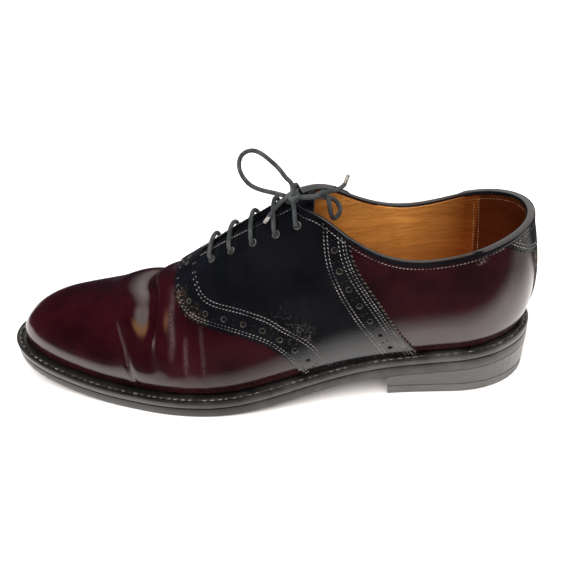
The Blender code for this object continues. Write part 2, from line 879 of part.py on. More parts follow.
def bar_half(turn, side, rise):
    """Points of a bar's half: up out of the eyelet and over the facing towards the ridge."""
    hole = eyelet_inset(turn)
    return [
        offset_point(turn, side, rise, -BAR_DEPTH),
        offset_point(turn, side, rise, BAR_LOW / 3),
        over_facing(turn, side, hole - EYELET_RADIUS / 4, BAR_LOW),
        over_facing(turn, side, hole - EYELET_RADIUS * 1.2, BAR_HIGH),
    ]


def make_lace_bars():
    """The lace's bars: each comes out of one eyelet, crosses the throat and goes in opposite.
    The top one is in two parts, which stop at the knot."""
    bars = []
    for k, (turn, rise) in enumerate(eyelet_places()):
        near = bar_half(turn, LATERAL, rise)
        far = bar_half(turn, MEDIAL, rise)
        halfway = eyelet_inset(turn) / 2
        far.append(over_facing(turn, MEDIAL, halfway, BAR_HIGH))
        far.append(over_facing(turn, LATERAL, 0.0, BAR_HIGH))
        if k < EYELET_PAIRS - 1:
            near.append(over_facing(turn, LATERAL, halfway, BAR_HIGH))
            points = near + far[::-1]
            bars.append(add_cord(f"lace_bar_{k + 1}", smooth_route(points, BAR_STEPS), LACE_DIAMETER))
        else:
            reach = KNOT_ACROSS + LACE_GAP
            near.append(over_facing(turn, LATERAL, KNOT_INSET + reach, BAR_HIGH))
            far.append(over_facing(turn, LATERAL, KNOT_INSET - reach, BAR_HIGH))
            half = BAR_STEPS // 2
            bars.append(add_cord("lace_top_near", smooth_route(near, half), LACE_DIAMETER))
            bars.append(add_cord("lace_top_far", smooth_route(far, half + 2), LACE_DIAMETER))
    return bars


# Routes of the bow, in metres, each from the knot outwards.
FRONT_LOOP = (
    (0.0233, -0.0118, 0.1131),
    (0.0184, -0.0090, 0.1133),
    (0.0123, -0.0040, 0.1125),
    (0.0048, 0.0020, 0.1128),
    (-0.0004, 0.0080, 0.1154),
    (-0.0027, 0.0130, 0.1195),
    (-0.0007, 0.0180, 0.1241),
    (0.0037, 0.0190, 0.1254),
    (0.0087, 0.0170, 0.1246),
    (0.0141, 0.0125, 0.1222),
    (0.0198, 0.0055, 0.1196),
    (0.0239, -0.0020, 0.1179),
    (0.0270, -0.0082, 0.1169),
)
BACK_LOOP = (
    (0.0310, -0.0160, 0.1142),
    (0.0393, -0.0170, 0.1148),
    (0.0431, -0.0135, 0.1150),
    (0.0453, -0.0130, 0.1086),
    (0.0478, -0.0110, 0.0989),
    (0.0503, -0.0080, 0.1013),
    (0.0485, -0.0075, 0.1067),
    (0.0457, -0.0095, 0.1096),
    (0.0419, -0.0125, 0.1119),
    (0.0308, -0.0131, 0.1124),
)
FRONT_END = (
    (0.0231, -0.0150, 0.1127),
    (0.0188, -0.0164, 0.1090),
    (0.0166, -0.0172, 0.1068),
    (0.0153, -0.0172, 0.1051),
)
FRONT_TIP = (
    (0.0149, -0.0172, 0.1046),
    (0.0124, -0.0168, 0.1012),
)
BACK_END = (
    (0.0312, -0.0106, 0.1112),
    (0.0365, -0.0112, 0.1113),
    (0.0422, -0.0090, 0.1120),
    (0.0458, -0.0055, 0.1113),
    (0.0492, -0.0040, 0.1112),
    (0.0532, 0.0000, 0.1123),
)
BACK_TIP = (
    (0.0539, 0.0000, 0.1136),
    (0.0551, 0.0000, 0.1173),
)


def make_knot():
    """The bow's knot: a rounded lump over the near facing, just clear of the leather."""
    turn = eyelet_places()[-1][0]
    mesh = bmesh.new()
    bmesh.ops.create_uvsphere(mesh, u_segments=12, v_segments=6, radius=1.0)
    side_rise = rise_at_inset(turn, KNOT_INSET)
    up = Vector(last_normal(turn, LATERAL, side_rise))
    across = Vector((1, 0, 0)).cross(up).normalized()
    onward = across.cross(up)
    middle = Vector(over_facing(turn, LATERAL, KNOT_INSET, KNOT_HEIGHT))
    for corner in mesh.verts:
        x, y, z = corner.co
        corner.co = middle + onward * x * KNOT_ALONG + across * y * KNOT_ACROSS + up * z * KNOT_TALL
    return add_object("lace_knot", mesh, LACE_BLACK, 0.8)


def make_bow():
    """The knot, its two loops and the two ends with their tips."""
    make_knot()
    add_cord("lace_loop_front", smooth_route(FRONT_LOOP, 20), LACE_DIAMETER)
    add_cord("lace_loop_back", smooth_route(BACK_LOOP, 20), LACE_DIAMETER)
    add_cord("lace_end_front", smooth_route(FRONT_END, 4), LACE_DIAMETER)
    add_cord("lace_end_back", smooth_route(BACK_END, 6), LACE_DIAMETER)
    add_cord("lace_tip_front", FRONT_TIP, TIP_DIAMETER)
    add_cord("lace_tip_back", BACK_TIP, TIP_DIAMETER)


def main():
    for old in list(bpy.data.objects):
        bpy.data.objects.remove(old)
    punch = make_eyelet_punch()
    upper = make_upper()
    cut(upper, punch)
    make_saddle(punch)
    make_heel_tab()
    make_back_strip()
    make_topline_binding()
    make_outsole()
    make_welt()
    make_insole()
    make_heel_stack()
    make_heel_top_piece()
    make_tongue()
    make_lace_bars()
    make_bow()


main()
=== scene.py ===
import math
from collections import namedtuple

import bmesh
import bpy
import numpy as np
from mathutils import Matrix, Vector
from mathutils.bvhtree import BVHTree


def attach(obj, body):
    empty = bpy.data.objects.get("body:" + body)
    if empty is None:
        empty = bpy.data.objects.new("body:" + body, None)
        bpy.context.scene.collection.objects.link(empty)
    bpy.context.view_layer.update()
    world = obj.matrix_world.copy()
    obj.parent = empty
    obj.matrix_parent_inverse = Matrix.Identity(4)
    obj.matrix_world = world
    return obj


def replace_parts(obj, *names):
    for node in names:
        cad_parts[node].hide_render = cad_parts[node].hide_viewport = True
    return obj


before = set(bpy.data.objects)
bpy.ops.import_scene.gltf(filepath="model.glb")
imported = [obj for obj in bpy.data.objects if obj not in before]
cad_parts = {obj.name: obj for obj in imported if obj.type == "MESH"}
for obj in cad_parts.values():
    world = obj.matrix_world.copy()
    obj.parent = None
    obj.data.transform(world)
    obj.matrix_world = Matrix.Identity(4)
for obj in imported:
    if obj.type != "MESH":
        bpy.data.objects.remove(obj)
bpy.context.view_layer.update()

# Camera: a little to the heel's side of square on, looking down on the outer side of the foot
# from close by, and rolled a few degrees.
CAMERA_PLACE = Vector((0.06124, -0.30431, 0.25744))
CAMERA_AIM = Vector((0.01914, 0.0, 0.04752))
CAMERA_ROLL = math.radians(-6.16)
CAMERA_LENS = 40.24

camera_data = bpy.data.cameras.new("camera")
camera_data.lens = CAMERA_LENS
camera_data.clip_start = 0.01
camera = bpy.data.objects.new("camera", camera_data)
bpy.context.scene.collection.objects.link(camera)
look = (CAMERA_AIM - CAMERA_PLACE).to_track_quat("-Z", "Y").to_matrix().to_4x4()
camera.matrix_world = Matrix.Translation(CAMERA_PLACE) @ look @ Matrix.Rotation(CAMERA_ROLL, 4, "Z")
bpy.context.scene.camera = camera
bpy.context.scene.view_settings.view_transform = "Standard"

# The last: the foot form that every leather piece is drawn over. Its sections are shares of
# the length, the width at the ball and the instep's height. The same form shaped the solids.
LAST_LENGTH = 0.2950
BALL_WIDTH = 0.0930
INSTEP_HEIGHT = 0.0700
HEEL_ROUND = 0.0400
HEEL_SQUARENESS = 2.12
TOE_ROUND = 0.0700
TOE_SQUARENESS = 2.15
TOE_BOX = 0.0330
TOE_BOX_SQUARENESS = 2.3
BELLY_HEIGHT = 0.0300
SOLE_THICK = 0.0060
WELT_THICK = 0.0042
FIT_GAP = 0.0003
HEEL_LENGTH = 0.0800
HEEL_RISE_FRONT = 0.0135
HEEL_RISE_BACK = 0.0196
TREAD_START = 0.60
TREAD_END = 0.74
TOE_SPRING = 0.0112
WELT_MARGIN = 0.0068
WELT_MARGIN_HEEL = 0.0050
HEEL_X = 0.14763
SIDE_SHIFT = 0.00039
LATERAL = -1
MEDIAL = 1

Section = namedtuple("Section", "share half_width swing ridge lean fullness belly")
SECTIONS = (
    Section(0.00, 0.335, 0.000, 1.75, 0.000, 2.70, 0.062),
    Section(0.12, 0.338, 0.000, 1.72, 0.000, 2.65, 0.045),
    Section(0.22, 0.332, -0.010, 1.62, 0.000, 2.45, 0.040),
    Section(0.32, 0.326, -0.041, 1.48, 0.010, 2.20, 0.040),
    Section(0.42, 0.346, -0.076, 1.28, 0.030, 2.05, 0.040),
    Section(0.52, 0.394, -0.094, 1.10, 0.055, 2.00, 0.032),
    Section(0.60, 0.440, -0.065, 0.89, 0.065, 2.05, 0.022),
    Section(0.68, 0.468, -0.010, 0.67, 0.050, 2.15, 0.016),
    Section(0.77, 0.451, 0.046, 0.54, 0.025, 2.30, 0.014),
    Section(0.88, 0.394, 0.060, 0.45, 0.005, 2.45, 0.012),
    Section(1.00, 0.340, 0.024, 0.33, 0.000, 2.50, 0.012),
)


def spline(places, values):
    """Natural cubic curve through the values, as a function of the place."""
    x = np.array(places, float)
    y = np.array(values, float)
    step = np.diff(x)
    count = len(x)
    system = np.eye(count)
    right = np.zeros(count)
    for i in range(1, count - 1):
        system[i, i - 1] = step[i - 1]
        system[i, i] = 2 * (step[i - 1] + step[i])
        system[i, i + 1] = step[i]
        right[i] = 6 * ((y[i + 1] - y[i]) / step[i] - (y[i] - y[i - 1]) / step[i - 1])
    bend = np.linalg.solve(system, right)

    def at(place):
        place = np.asarray(place, float)
        i = np.clip(np.searchsorted(x, place) - 1, 0, count - 2)
        a = x[i + 1] - place
        b = place - x[i]
        curve = (bend[i] * a**3 + bend[i + 1] * b**3) / (6 * step[i])
        first = (y[i] / step[i] - bend[i] * step[i] / 6) * a
        second = (y[i + 1] / step[i] - bend[i + 1] * step[i] / 6) * b
        return curve + first + second

    return at


SHARES = [row.share for row in SECTIONS]
section_half_width = spline(SHARES, [row.half_width * BALL_WIDTH for row in SECTIONS])
section_swing = spline(SHARES, [row.swing * BALL_WIDTH for row in SECTIONS])
section_ridge = spline(SHARES, [row.ridge * INSTEP_HEIGHT for row in SECTIONS])
section_lean = spline(SHARES, [row.lean * BALL_WIDTH for row in SECTIONS])
section_fullness = spline(SHARES, [row.fullness for row in SECTIONS])
section_belly = spline(SHARES, [row.belly * BALL_WIDTH for row in SECTIONS])


def rounded(distance, reach, squareness):
    """Rises from 0 at an end of the last to 1 at reach from it, as a superellipse does."""
    left = np.maximum(0.0, 1 - distance / reach)
    return (1 - left**squareness) ** (1 / squareness)


def half_width(share):
    behind = share * LAST_LENGTH
    ahead = (1 - share) * LAST_LENGTH
    ends = rounded(behind, HEEL_ROUND, HEEL_SQUARENESS) * rounded(ahead, TOE_ROUND, TOE_SQUARENESS)
    return section_half_width(share) * ends


def ridge_height(share):
    ahead = (1 - share) * LAST_LENGTH
    return section_ridge(share) * rounded(ahead, TOE_BOX, TOE_BOX_SQUARENESS)


def along(turn):
    return (1 - np.cos(np.pi * turn)) / 2


def turn_of(share):
    return math.acos(1 - 2 * share) / math.pi


def sole_bottom(x):
    """Height of the sole's underside above the floor: heel seat, shank, flat tread, toe spring."""
    share = (HEEL_X - np.asarray(x, float)) / LAST_LENGTH
    seat = (HEEL_LENGTH - WELT_MARGIN_HEEL) / LAST_LENGTH
    slope = (HEEL_RISE_FRONT - HEEL_RISE_BACK) / seat
    reach = TREAD_START - seat
    s = (share - seat) / reach
    shank = HEEL_RISE_FRONT * (2 * s**3 - 3 * s**2 + 1) + slope * reach * (s**3 - 2 * s**2 + s)
    spring = TOE_SPRING * ((share - TREAD_END) / (1 - TREAD_END)) ** 2
    ahead = np.where(share < TREAD_END, 0.0, spring)
    return np.where(share < seat, HEEL_RISE_BACK + slope * share, np.where(share < TREAD_START, shank, ahead))


def feather_z(x):
    return sole_bottom(x) + SOLE_THICK + WELT_THICK + 2 * FIT_GAP


def plan_point(turn, side):
    """Feather line in plan."""
    share = along(turn)
    x = HEEL_X - share * LAST_LENGTH
    y = SIDE_SHIFT + section_swing(share) + side * half_width(share)
    return np.stack(np.broadcast_arrays(x, y), -1)


def unit(vectors):
    return vectors / np.linalg.norm(vectors, axis=-1, keepdims=True)


def run_lengths(points):
    """How far along the line through the points each of them lies."""
    return np.concatenate([[0.0], np.cumsum(np.linalg.norm(np.diff(points, axis=0), axis=1))])


def plan_normal(turn, side):
    """Unit vector in plan that points out of the last, square to the feather line."""
    turn = np.asarray(turn, float)
    step = 1e-4
    inside = np.clip(turn, 2 * step, 1 - 2 * step)
    tangent = plan_point(inside + step, side) - plan_point(inside - step, side)
    normal = unit(np.stack([tangent[..., 1] * side, -tangent[..., 0] * side], -1))
    normal = np.where(turn[..., None] <= 0, np.array([1.0, 0.0]), normal)
    return np.where(turn[..., None] >= 1, np.array([-1.0, 0.0]), normal)


def last_point(turn, side, rise):
    """A point of the last's surface. rise is the angle up the section, from 0 at the feather
    line to a right angle at the ridge."""
    turn, side, rise = np.broadcast_arrays(np.asarray(turn, float), side, rise)
    share = along(turn)
    foot = plan_point(turn, side)
    closing = 1 - np.maximum(0.0, np.cos(rise)) ** (2 / section_fullness(share))
    spine_x = np.minimum(foot[..., 0], HEEL_X - HEEL_ROUND)
    spine = np.stack([spine_x, SIDE_SHIFT + section_swing(share)], -1)
    lean = section_lean(share) * np.sin(rise) ** 2
    height = ridge_height(share) * np.sin(rise)
    swell = height / BELLY_HEIGHT * np.exp(1 - height / BELLY_HEIGHT) * np.cos(rise)
    belly = plan_normal(turn, side) * (section_belly(share) * swell)[..., None]
    plan = foot + (spine - foot) * closing[..., None] + belly
    return np.stack([plan[..., 0], plan[..., 1] + lean, feather_z(foot[..., 0]) + height], -1)


def last_normal(turn, side, rise):
    """Unit outward normal of the last's surface."""
    turn, side, rise = np.broadcast_arrays(np.asarray(turn, float), side, rise)
    step = 1e-3
    above = np.minimum(rise + step, np.pi / 2)
    below = np.maximum(rise - step, 0.0)
    up = last_point(turn, side, above) - last_point(turn, side, below)
    across = np.stack([np.zeros(side.shape), -side * 1.0, np.zeros(side.shape)], -1)
    up = np.where((rise >= np.pi / 2 - step)[..., None], across, up)
    inside = np.clip(turn, step, 1 - step)
    forward = last_point(inside + step, side, rise) - last_point(inside - step, side, rise)
    forward = np.where((turn <= 0)[..., None], -across, forward)
    normal = unit(np.cross(forward, up) * side[..., None])
    flat = plan_normal(turn, side)
    level = np.concatenate([flat, np.zeros(flat.shape[:-1] + (1,))], -1)
    normal = np.where((rise <= 0)[..., None], level, normal)
    return np.where((turn >= 1)[..., None], np.array([-1.0, 0.0, 0.0]), normal)


Fold = namedtuple("Fold", "width line")
# Walking creases of the vamp. Each follows points of (place round the section, from -1 at the
# outer feather line over 0 on the ridge to 1 at the inner one, share of the length, depth in
# metres). A depth below zero is a swelling.
FOLDS = (
    Fold(
        0.0022,
        (
            (-1.0, 0.730, 0.0), (-0.85, 0.737, 0.0004), (-0.66, 0.743, 0.0005),
            (-0.50, 0.755, 0.0004), (-0.28, 0.770, 0.0),
        ),
    ),
    Fold(
        0.0098,
        (
            (-0.90, 0.737, 0.0), (-0.57, 0.733, -0.0020), (-0.34, 0.740, -0.0036),
            (-0.20, 0.751, -0.0034), (0.0, 0.776, -0.0022), (0.35, 0.747, -0.0018),
            (0.9, 0.732, 0.0),
        ),
    ),
    Fold(
        0.0058,
        (
            (-0.82, 0.701, 0.0), (-0.59, 0.699, 0.0016), (-0.29, 0.693, 0.0028),
            (-0.12, 0.705, 0.0032), (0.0, 0.718, 0.0030), (0.35, 0.694, 0.0015),
            (0.8, 0.700, 0.0),
        ),
    ),
    Fold(
        0.0052,
        (
            (-0.85, 0.672, 0.0), (-0.55, 0.674, -0.0014), (-0.25, 0.678, -0.0022),
            (-0.12, 0.686, -0.0026), (0.0, 0.697, -0.0024), (0.35, 0.670, -0.0008),
            (0.8, 0.668, 0.0),
        ),
    ),
    Fold(
        0.0038,
        (
            (-0.88, 0.650, 0.0), (-0.62, 0.647, 0.0010), (-0.38, 0.650, 0.0010),
            (-0.10, 0.658, 0.0004), (0.05, 0.660, 0.0),
        ),
    ),
    Fold(
        0.0040,
        (
            (0.15, 0.655, 0.0), (0.40, 0.648, 0.0009), (0.65, 0.650, 0.0008),
            (0.88, 0.655, 0.0),
        ),
    ),
    Fold(
        0.0042,
        (
            (-0.95, 0.624, 0.0), (-0.78, 0.621, 0.0006), (-0.62, 0.618, 0.0005),
            (-0.52, 0.616, 0.0),
        ),
    ),
    Fold(
        0.0040,
        (
            (-0.96, 0.590, 0.0), (-0.80, 0.588, 0.0005), (-0.62, 0.587, 0.0004),
            (-0.52, 0.587, 0.0),
        ),
    ),
    Fold(
        0.0035,
        (
            (0.45, 0.735, 0.0), (0.65, 0.742, 0.0006), (0.9, 0.738, 0.0),
        ),
    ),
    Fold(
        0.0160,
        (
            (-0.95, 0.540, 0.0), (-0.70, 0.530, 0.0007), (-0.45, 0.520, 0.0),
        ),
    ),
    Fold(
        0.0200,
        (
            (-0.90, 0.190, 0.0), (-0.60, 0.200, 0.0008), (-0.30, 0.215, 0.0),
        ),
    ),
    Fold(
        0.0180,
        (
            (0.30, 0.200, 0.0), (0.60, 0.180, 0.0008), (0.90, 0.180, 0.0),
        ),
    ),
)


def fold_depth(turn, side, rise):
    """How far the creases press the leather in, or swell it out where it is below zero."""
    around = side * (1 - 2 * rise / np.pi)
    share = along(turn)
    depth = np.zeros(np.broadcast(around, share).shape)
    for fold in FOLDS:
        places = [row[0] for row in fold.line]
        line = spline(places, [row[1] for row in fold.line])
        deep = spline(places, [row[2] for row in fold.line])
        held = np.clip(around, places[0], places[-1])
        distance = (share - line(held)) * LAST_LENGTH
        inside = (around > places[0]) & (around < places[-1])
        depth = depth + np.where(inside, deep(held) * np.exp(-((distance / fold.width) ** 2)), 0.0)
    return depth


def skin(turn, side, rise, offset):
    """A point of the leather, this far out of the last, with its creases."""
    turn, side, rise = np.broadcast_arrays(np.asarray(turn, float), side, rise)
    lift = offset - fold_depth(turn, side, rise)
    return last_point(turn, side, rise) + last_normal(turn, side, rise) * np.asarray(lift)[..., None]


# Throat and collar: where the upper's top edge runs, on each side, from the back seam up to the
# corner of the facing and down along the facing to the throat's front.
BACK_HEIGHT = 0.0640
MEDIAL_TOPLINE_RAISE = 0.0015
CORNER_SHARE = 0.399
THROAT_FRONT = 0.593
THROAT_GAP_FRONT = 0.0040
THROAT_GAP_TOP = 0.0120
CORNER_ROUND = 0.05
COLLAR_TURN = turn_of(CORNER_SHARE)
THROAT_TURN = turn_of(THROAT_FRONT)

Topline = namedtuple("Topline", "share height")
TOPLINE = (
    Topline(0.000, 1.000),
    Topline(0.070, 0.945),
    Topline(0.150, 0.885),
    Topline(0.230, 0.910),
    Topline(0.310, 1.120),
    Topline(0.370, 1.340),
    Topline(0.410, 1.420),
    Topline(0.460, 1.760),
)
topline_height = spline([row.share for row in TOPLINE], [row.height * BACK_HEIGHT for row in TOPLINE])


def throat_gap(share):
    s = np.clip((THROAT_FRONT - share) / (THROAT_FRONT - CORNER_SHARE), 0.0, 1.0)
    return THROAT_GAP_FRONT + (THROAT_GAP_TOP - THROAT_GAP_FRONT) * s


def rise_at_inset(turn, inset):
    """The rise of the point that lies this far from the ridge, measured across the last."""
    share = along(turn)
    across = np.minimum(1.0, inset / np.maximum(half_width(share), 1e-6))
    return np.arccos(across ** (section_fullness(share) / 2))


def collar_rise(turn, side):
    share = along(turn)
    height = topline_height(np.minimum(share, TOPLINE[-1].share))
    raised = MEDIAL_TOPLINE_RAISE * np.sin(np.pi * np.minimum(1.0, share / CORNER_SHARE))
    height = height + np.where(side == MEDIAL, raised, 0.0)
    ridge = ridge_height(share)
    past = (share > TOPLINE[-1].share) | (height >= ridge)
    return np.where(past, np.pi, np.arcsin(np.clip(height / ridge, -1, 1)))


def top_rise(turn, side):
    """Rise of the upper's top edge: collar, rounded corner, facing edge, then the ridge."""
    turn = np.asarray(turn, float)
    share = along(turn)
    collar = collar_rise(turn, side)
    facing = rise_at_inset(turn, throat_gap(share) / 2)
    near = np.clip(0.5 + 0.5 * (facing - collar) / CORNER_ROUND, 0.0, 1.0)
    open_top = facing + (collar - facing) * near - CORNER_ROUND * near * (1 - near)
    top = np.where(share < CORNER_SHARE / 2, collar, open_top)
    return np.where(turn > THROAT_TURN - 1e-6, np.pi / 2, top)


# The lace: round waxed cord of 2.4 mm, black and worn grey. It crosses straight between the
# facings through five pairs of holes and is tied in a bow over the outer facing.
LACE_DIAMETER = 0.0024
OVERLAY_THICK = 0.0013
WALL = 0.0022
EYELET_PAIRS = 5
EYELET_PITCH = 0.0142
EYELET_FIRST = 0.0130
EYELET_INSET = 0.0088
EYELET_RADIUS = 0.0019
BAR_ARCH = 0.0006
BAR_DEPTH = 0.0030
BAR_LOW = OVERLAY_THICK + 2 * FIT_GAP + LACE_DIAMETER / 2
BAR_HIGH = BAR_LOW + BAR_ARCH
KNOT_INSET = 0.0066
KNOT_HEIGHT = 0.0050
LACE_COLOUR = (0.026, 0.033, 0.036)
LACE_WORN = (0.150, 0.165, 0.170)
STRAND_SLANT = math.radians(42)
TIP_RADIUS = 0.00105
TIP_BEVEL = 0.0002
BOW_STEPS = 150


def material(name, colour, roughness, coat=0.0, coat_roughness=0.1):
    """A new material and its shader."""
    made = bpy.data.materials.new(name)
    made.use_nodes = True
    shader = made.node_tree.nodes["Principled BSDF"]
    shader.inputs["Base Color"].default_value = (*colour, 1.0)
    shader.inputs["Roughness"].default_value = roughness
    shader.inputs["Coat Weight"].default_value = coat
    shader.inputs["Coat Roughness"].default_value = coat_roughness
    return made, shader


def nodes_of(owner):
    """The node tree of a material or of the world. A node group is one itself."""
    return getattr(owner, "node_tree", owner)


def node(owner, kind, **settings):
    """A node of that kind. Settings named after its sockets, with _ for a space, set them."""
    new = nodes_of(owner).nodes.new(kind)
    for key, value in settings.items():
        socket = key.replace("_", " ")
        if socket in new.inputs:
            new.inputs[socket].default_value = value
        else:
            setattr(new, key, value)
    return new


def join(owner, start, end):
    nodes_of(owner).links.new(start, end)


def feed(owner, socket, value):
    """Links the value where it is a socket itself, and sets it otherwise."""
    if isinstance(value, bpy.types.NodeSocket):
        join(owner, value, socket)
    elif socket.type == "RGBA":
        socket.default_value = (*value, 1.0)
    else:
        socket.default_value = value


def calculate(owner, operation, *values):
    """The result of a math node fed with the values."""
    step = node(owner, "ShaderNodeMath", operation=operation)
    for socket, value in zip(step.inputs, values):
        feed(owner, socket, value)
    return step.outputs[0]


def between(owner, factor, low, high):
    """A mix of two colours by the factor. low and high are colours or sockets."""
    mix = node(owner, "ShaderNodeMix", data_type="RGBA")
    join(owner, factor, mix.inputs["Factor"])
    feed(owner, mix.inputs[6], low)
    feed(owner, mix.inputs[7], high)
    return mix.outputs[2]


def spot_on_piece(owner):
    return node(owner, "ShaderNodeTexCoord").outputs["Object"]


def parts_of(owner, vector):
    """The X, Y and Z of a vector, by name."""
    parts = node(owner, "ShaderNodeSeparateXYZ")
    join(owner, vector, parts.inputs["Vector"])
    return parts.outputs


def noise(owner, scale, detail=4.0, rough=0.55, vector=None):
    """Noise over the piece, in object coordinates unless another vector is given."""
    speckle = node(owner, "ShaderNodeTexNoise", Roughness=rough)
    feed(owner, speckle.inputs["Scale"], scale)
    feed(owner, speckle.inputs["Detail"], detail)
    join(owner, vector or spot_on_piece(owner), speckle.inputs["Vector"])
    return speckle.outputs["Fac"]


def ramp(owner, factor, low, high, low_value=0.0, high_value=1.0):
    """Maps low to high of the factor onto the values, held at both ends."""
    scale = node(owner, "ShaderNodeMapRange")
    join(owner, factor, scale.inputs["Value"])
    for name, value in (("From Min", low), ("From Max", high), ("To Min", low_value), ("To Max", high_value)):
        feed(owner, scale.inputs[name], value)
    return scale.outputs["Result"]


def bump(owner, shader, height, distance, strength=1.0, coat=False):
    """A bump on the shader's normal, and on its coat's where that is asked."""
    relief = node(owner, "ShaderNodeBump", Strength=strength, Distance=distance)
    join(owner, height, relief.inputs["Height"])
    join(owner, relief.outputs["Normal"], shader.inputs["Normal"])
    if coat:
        join(owner, relief.outputs["Normal"], shader.inputs["Coat Normal"])


def new_group(name, inputs, outputs):
    """An empty node group with these sockets, each (name, kind), and its two inner ends."""
    group = bpy.data.node_groups.new(name, "ShaderNodeTree")
    for way, sockets in (("INPUT", inputs), ("OUTPUT", outputs)):
        for label, kind in sockets:
            group.interface.new_socket(label, in_out=way, socket_type="NodeSocket" + kind)
    return group, node(group, "NodeGroupInput").outputs, node(group, "NodeGroupOutput").inputs


def place_group(owner, group, *values):
    """Puts the group into a material with its inputs fed in order, and returns its outputs."""
    placed = node(owner, "ShaderNodeGroup")
    placed.node_tree = group
    for socket, value in zip(placed.inputs, values):
        feed(owner, socket, value)
    return placed.outputs


def speckle_group():
    """Two tones in fine patches: waxed thread gone dusty, whose pale tone on the upper's stitches is also
    painted highlight, fibres of a cut edge, scratched metal.
    """
    group, given, made = new_group(
        "worn_speckle",
        (
            ("Scale", "Float"),
            ("Detail", "Float"),
            ("Low", "Float"),
            ("High", "Float"),
            ("Dark", "Color"),
            ("Pale", "Color"),
        ),
        (("Color", "Color"), ("Height", "Float")),
    )
    patches = ramp(group, noise(group, given["Scale"], given["Detail"]), given["Low"], given["High"])
    join(group, patches, made["Height"])
    join(group, between(group, patches, given["Dark"], given["Pale"]), made["Color"])
    return group


SPECKLE = speckle_group()


def speckled(name, roughness, relief, scale, detail, low, high, dark, pale, coat=0.0):
    """A material in two speckled tones, with a relief where that is above zero."""
    made, shader = material(name, dark, roughness, coat=coat)
    speckle = place_group(made, SPECKLE, scale, detail, low, high, dark, pale)
    join(made, speckle["Color"], shader.inputs["Base Color"])
    if relief > 0:
        bump(made, shader, speckle["Height"], relief)
    return made


def new_object(name, mesh, made, smooth_angle=None):
    data = bpy.data.meshes.new(name)
    mesh.to_mesh(data)
    mesh.free()
    data.shade_smooth()
    if smooth_angle:
        data.set_sharp_from_angle(angle=math.radians(smooth_angle))
    data.materials.append(made)
    piece = bpy.data.objects.new(name, data)
    bpy.context.scene.collection.objects.link(piece)
    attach(piece, "root")
    return piece


def smooth_route(points, steps):
    """A smooth run of points through the route's own points."""
    points = np.array(points, float)
    places = run_lengths(points)
    at = np.linspace(0, places[-1], steps + 1)
    return np.stack([spline(places, points[:, axis])(at) for axis in range(3)], -1)


def add_tube(mesh, path, radius, sides=12):
    """Sweeps a round section along the path into mesh, with closed ends. u of its UV runs along
    in diameters, v runs once round."""
    path = [Vector(point) for point in path]
    layer = mesh.loops.layers.uv.verify()
    rings = []
    across = None
    length = 0.0
    lengths = []
    for i, point in enumerate(path):
        before = path[max(i - 1, 0)]
        after = path[min(i + 1, len(path) - 1)]
        onward = (after - before).normalized()
        if across is None:
            across = onward.orthogonal().normalized()
        across = (across - onward * across.dot(onward)).normalized()
        up = onward.cross(across)
        length += (point - before).length if i else 0.0
        lengths.append(length)
        ring = []
        for j in range(sides):
            angle = 2 * math.pi * j / sides
            ring.append(mesh.verts.new(point + (across * math.cos(angle) + up * math.sin(angle)) * radius))
        rings.append(ring)
    for i in range(len(rings) - 1):
        for j in range(sides):
            k = (j + 1) % sides
            face = mesh.faces.new((rings[i][j], rings[i][k], rings[i + 1][k], rings[i + 1][j]))
            corners = ((i, j), (i, j + 1), (i + 1, j + 1), (i + 1, j))
            for loop, (row, column) in zip(face.loops, corners):
                loop[layer].uv = (lengths[row] / (2 * radius), column / sides)
    mesh.faces.new(rings[0][::-1])
    mesh.faces.new(rings[-1])


def lace_material():
    """Waxed braid: a fine herringbone of strands round the cord, rubbed grey on its crests."""
    made, shader = material("lace", LACE_COLOUR, 0.55)
    place = node(made, "ShaderNodeTexCoord").outputs["UV"]
    strands = []
    for slant in (1, -1):
        turned = node(made, "ShaderNodeMapping", Scale=(1.0, 4.0, 1.0))
        turned.inputs["Rotation"].default_value = (0, 0, slant * STRAND_SLANT)
        join(made, place, turned.inputs["Vector"])
        wave = node(made, "ShaderNodeTexWave", Scale=2.2, Distortion=0.6)
        join(made, turned.outputs["Vector"], wave.inputs["Vector"])
        strands.append(wave.outputs["Fac"])
    weave = calculate(made, "MAXIMUM", *strands)
    crests = ramp(made, weave, 0.55, 1.0)
    patch = ramp(made, noise(made, 160.0, 3.0), 0.40, 0.70, 0.15, 1.0)
    rubbed = calculate(made, "MULTIPLY", crests, patch)
    join(made, between(made, rubbed, LACE_COLOUR, LACE_WORN), shader.inputs["Base Color"])
    bump(made, shader, weave, 0.00022)
    return made


LACE = lace_material()

FRONT_LOOP = (
    (0.0233, -0.0118, 0.1131),
    (0.0184, -0.0090, 0.1133),
    (0.0123, -0.0040, 0.1125),
    (0.0048, 0.0020, 0.1128),
    (-0.0004, 0.0080, 0.1154),
    (-0.0027, 0.0130, 0.1195),
    (-0.0007, 0.0180, 0.1241),
    (0.0037, 0.0190, 0.1254),
    (0.0087, 0.0170, 0.1246),
    (0.0141, 0.0125, 0.1222),
    (0.0198, 0.0055, 0.1196),
    (0.0239, -0.0020, 0.1179),
    (0.0270, -0.0082, 0.1169),
)
BACK_LOOP = (
    (0.0310, -0.0160, 0.1142),
    (0.0393, -0.0170, 0.1148),
    (0.0431, -0.0135, 0.1150),
    (0.0453, -0.0130, 0.1086),
    (0.0478, -0.0110, 0.0989),
    (0.0503, -0.0080, 0.1013),
    (0.0485, -0.0075, 0.1067),
    (0.0457, -0.0095, 0.1096),
    (0.0419, -0.0125, 0.1119),
    (0.0308, -0.0131, 0.1124),
)
FRONT_END = (
    (0.0231, -0.0150, 0.1127),
    (0.0188, -0.0164, 0.1090),
    (0.0166, -0.0172, 0.1068),
    (0.0153, -0.0172, 0.1051),
)
FRONT_TIP = (
    (0.0153, -0.0172, 0.1051),
    (0.0124, -0.0168, 0.1012),
)
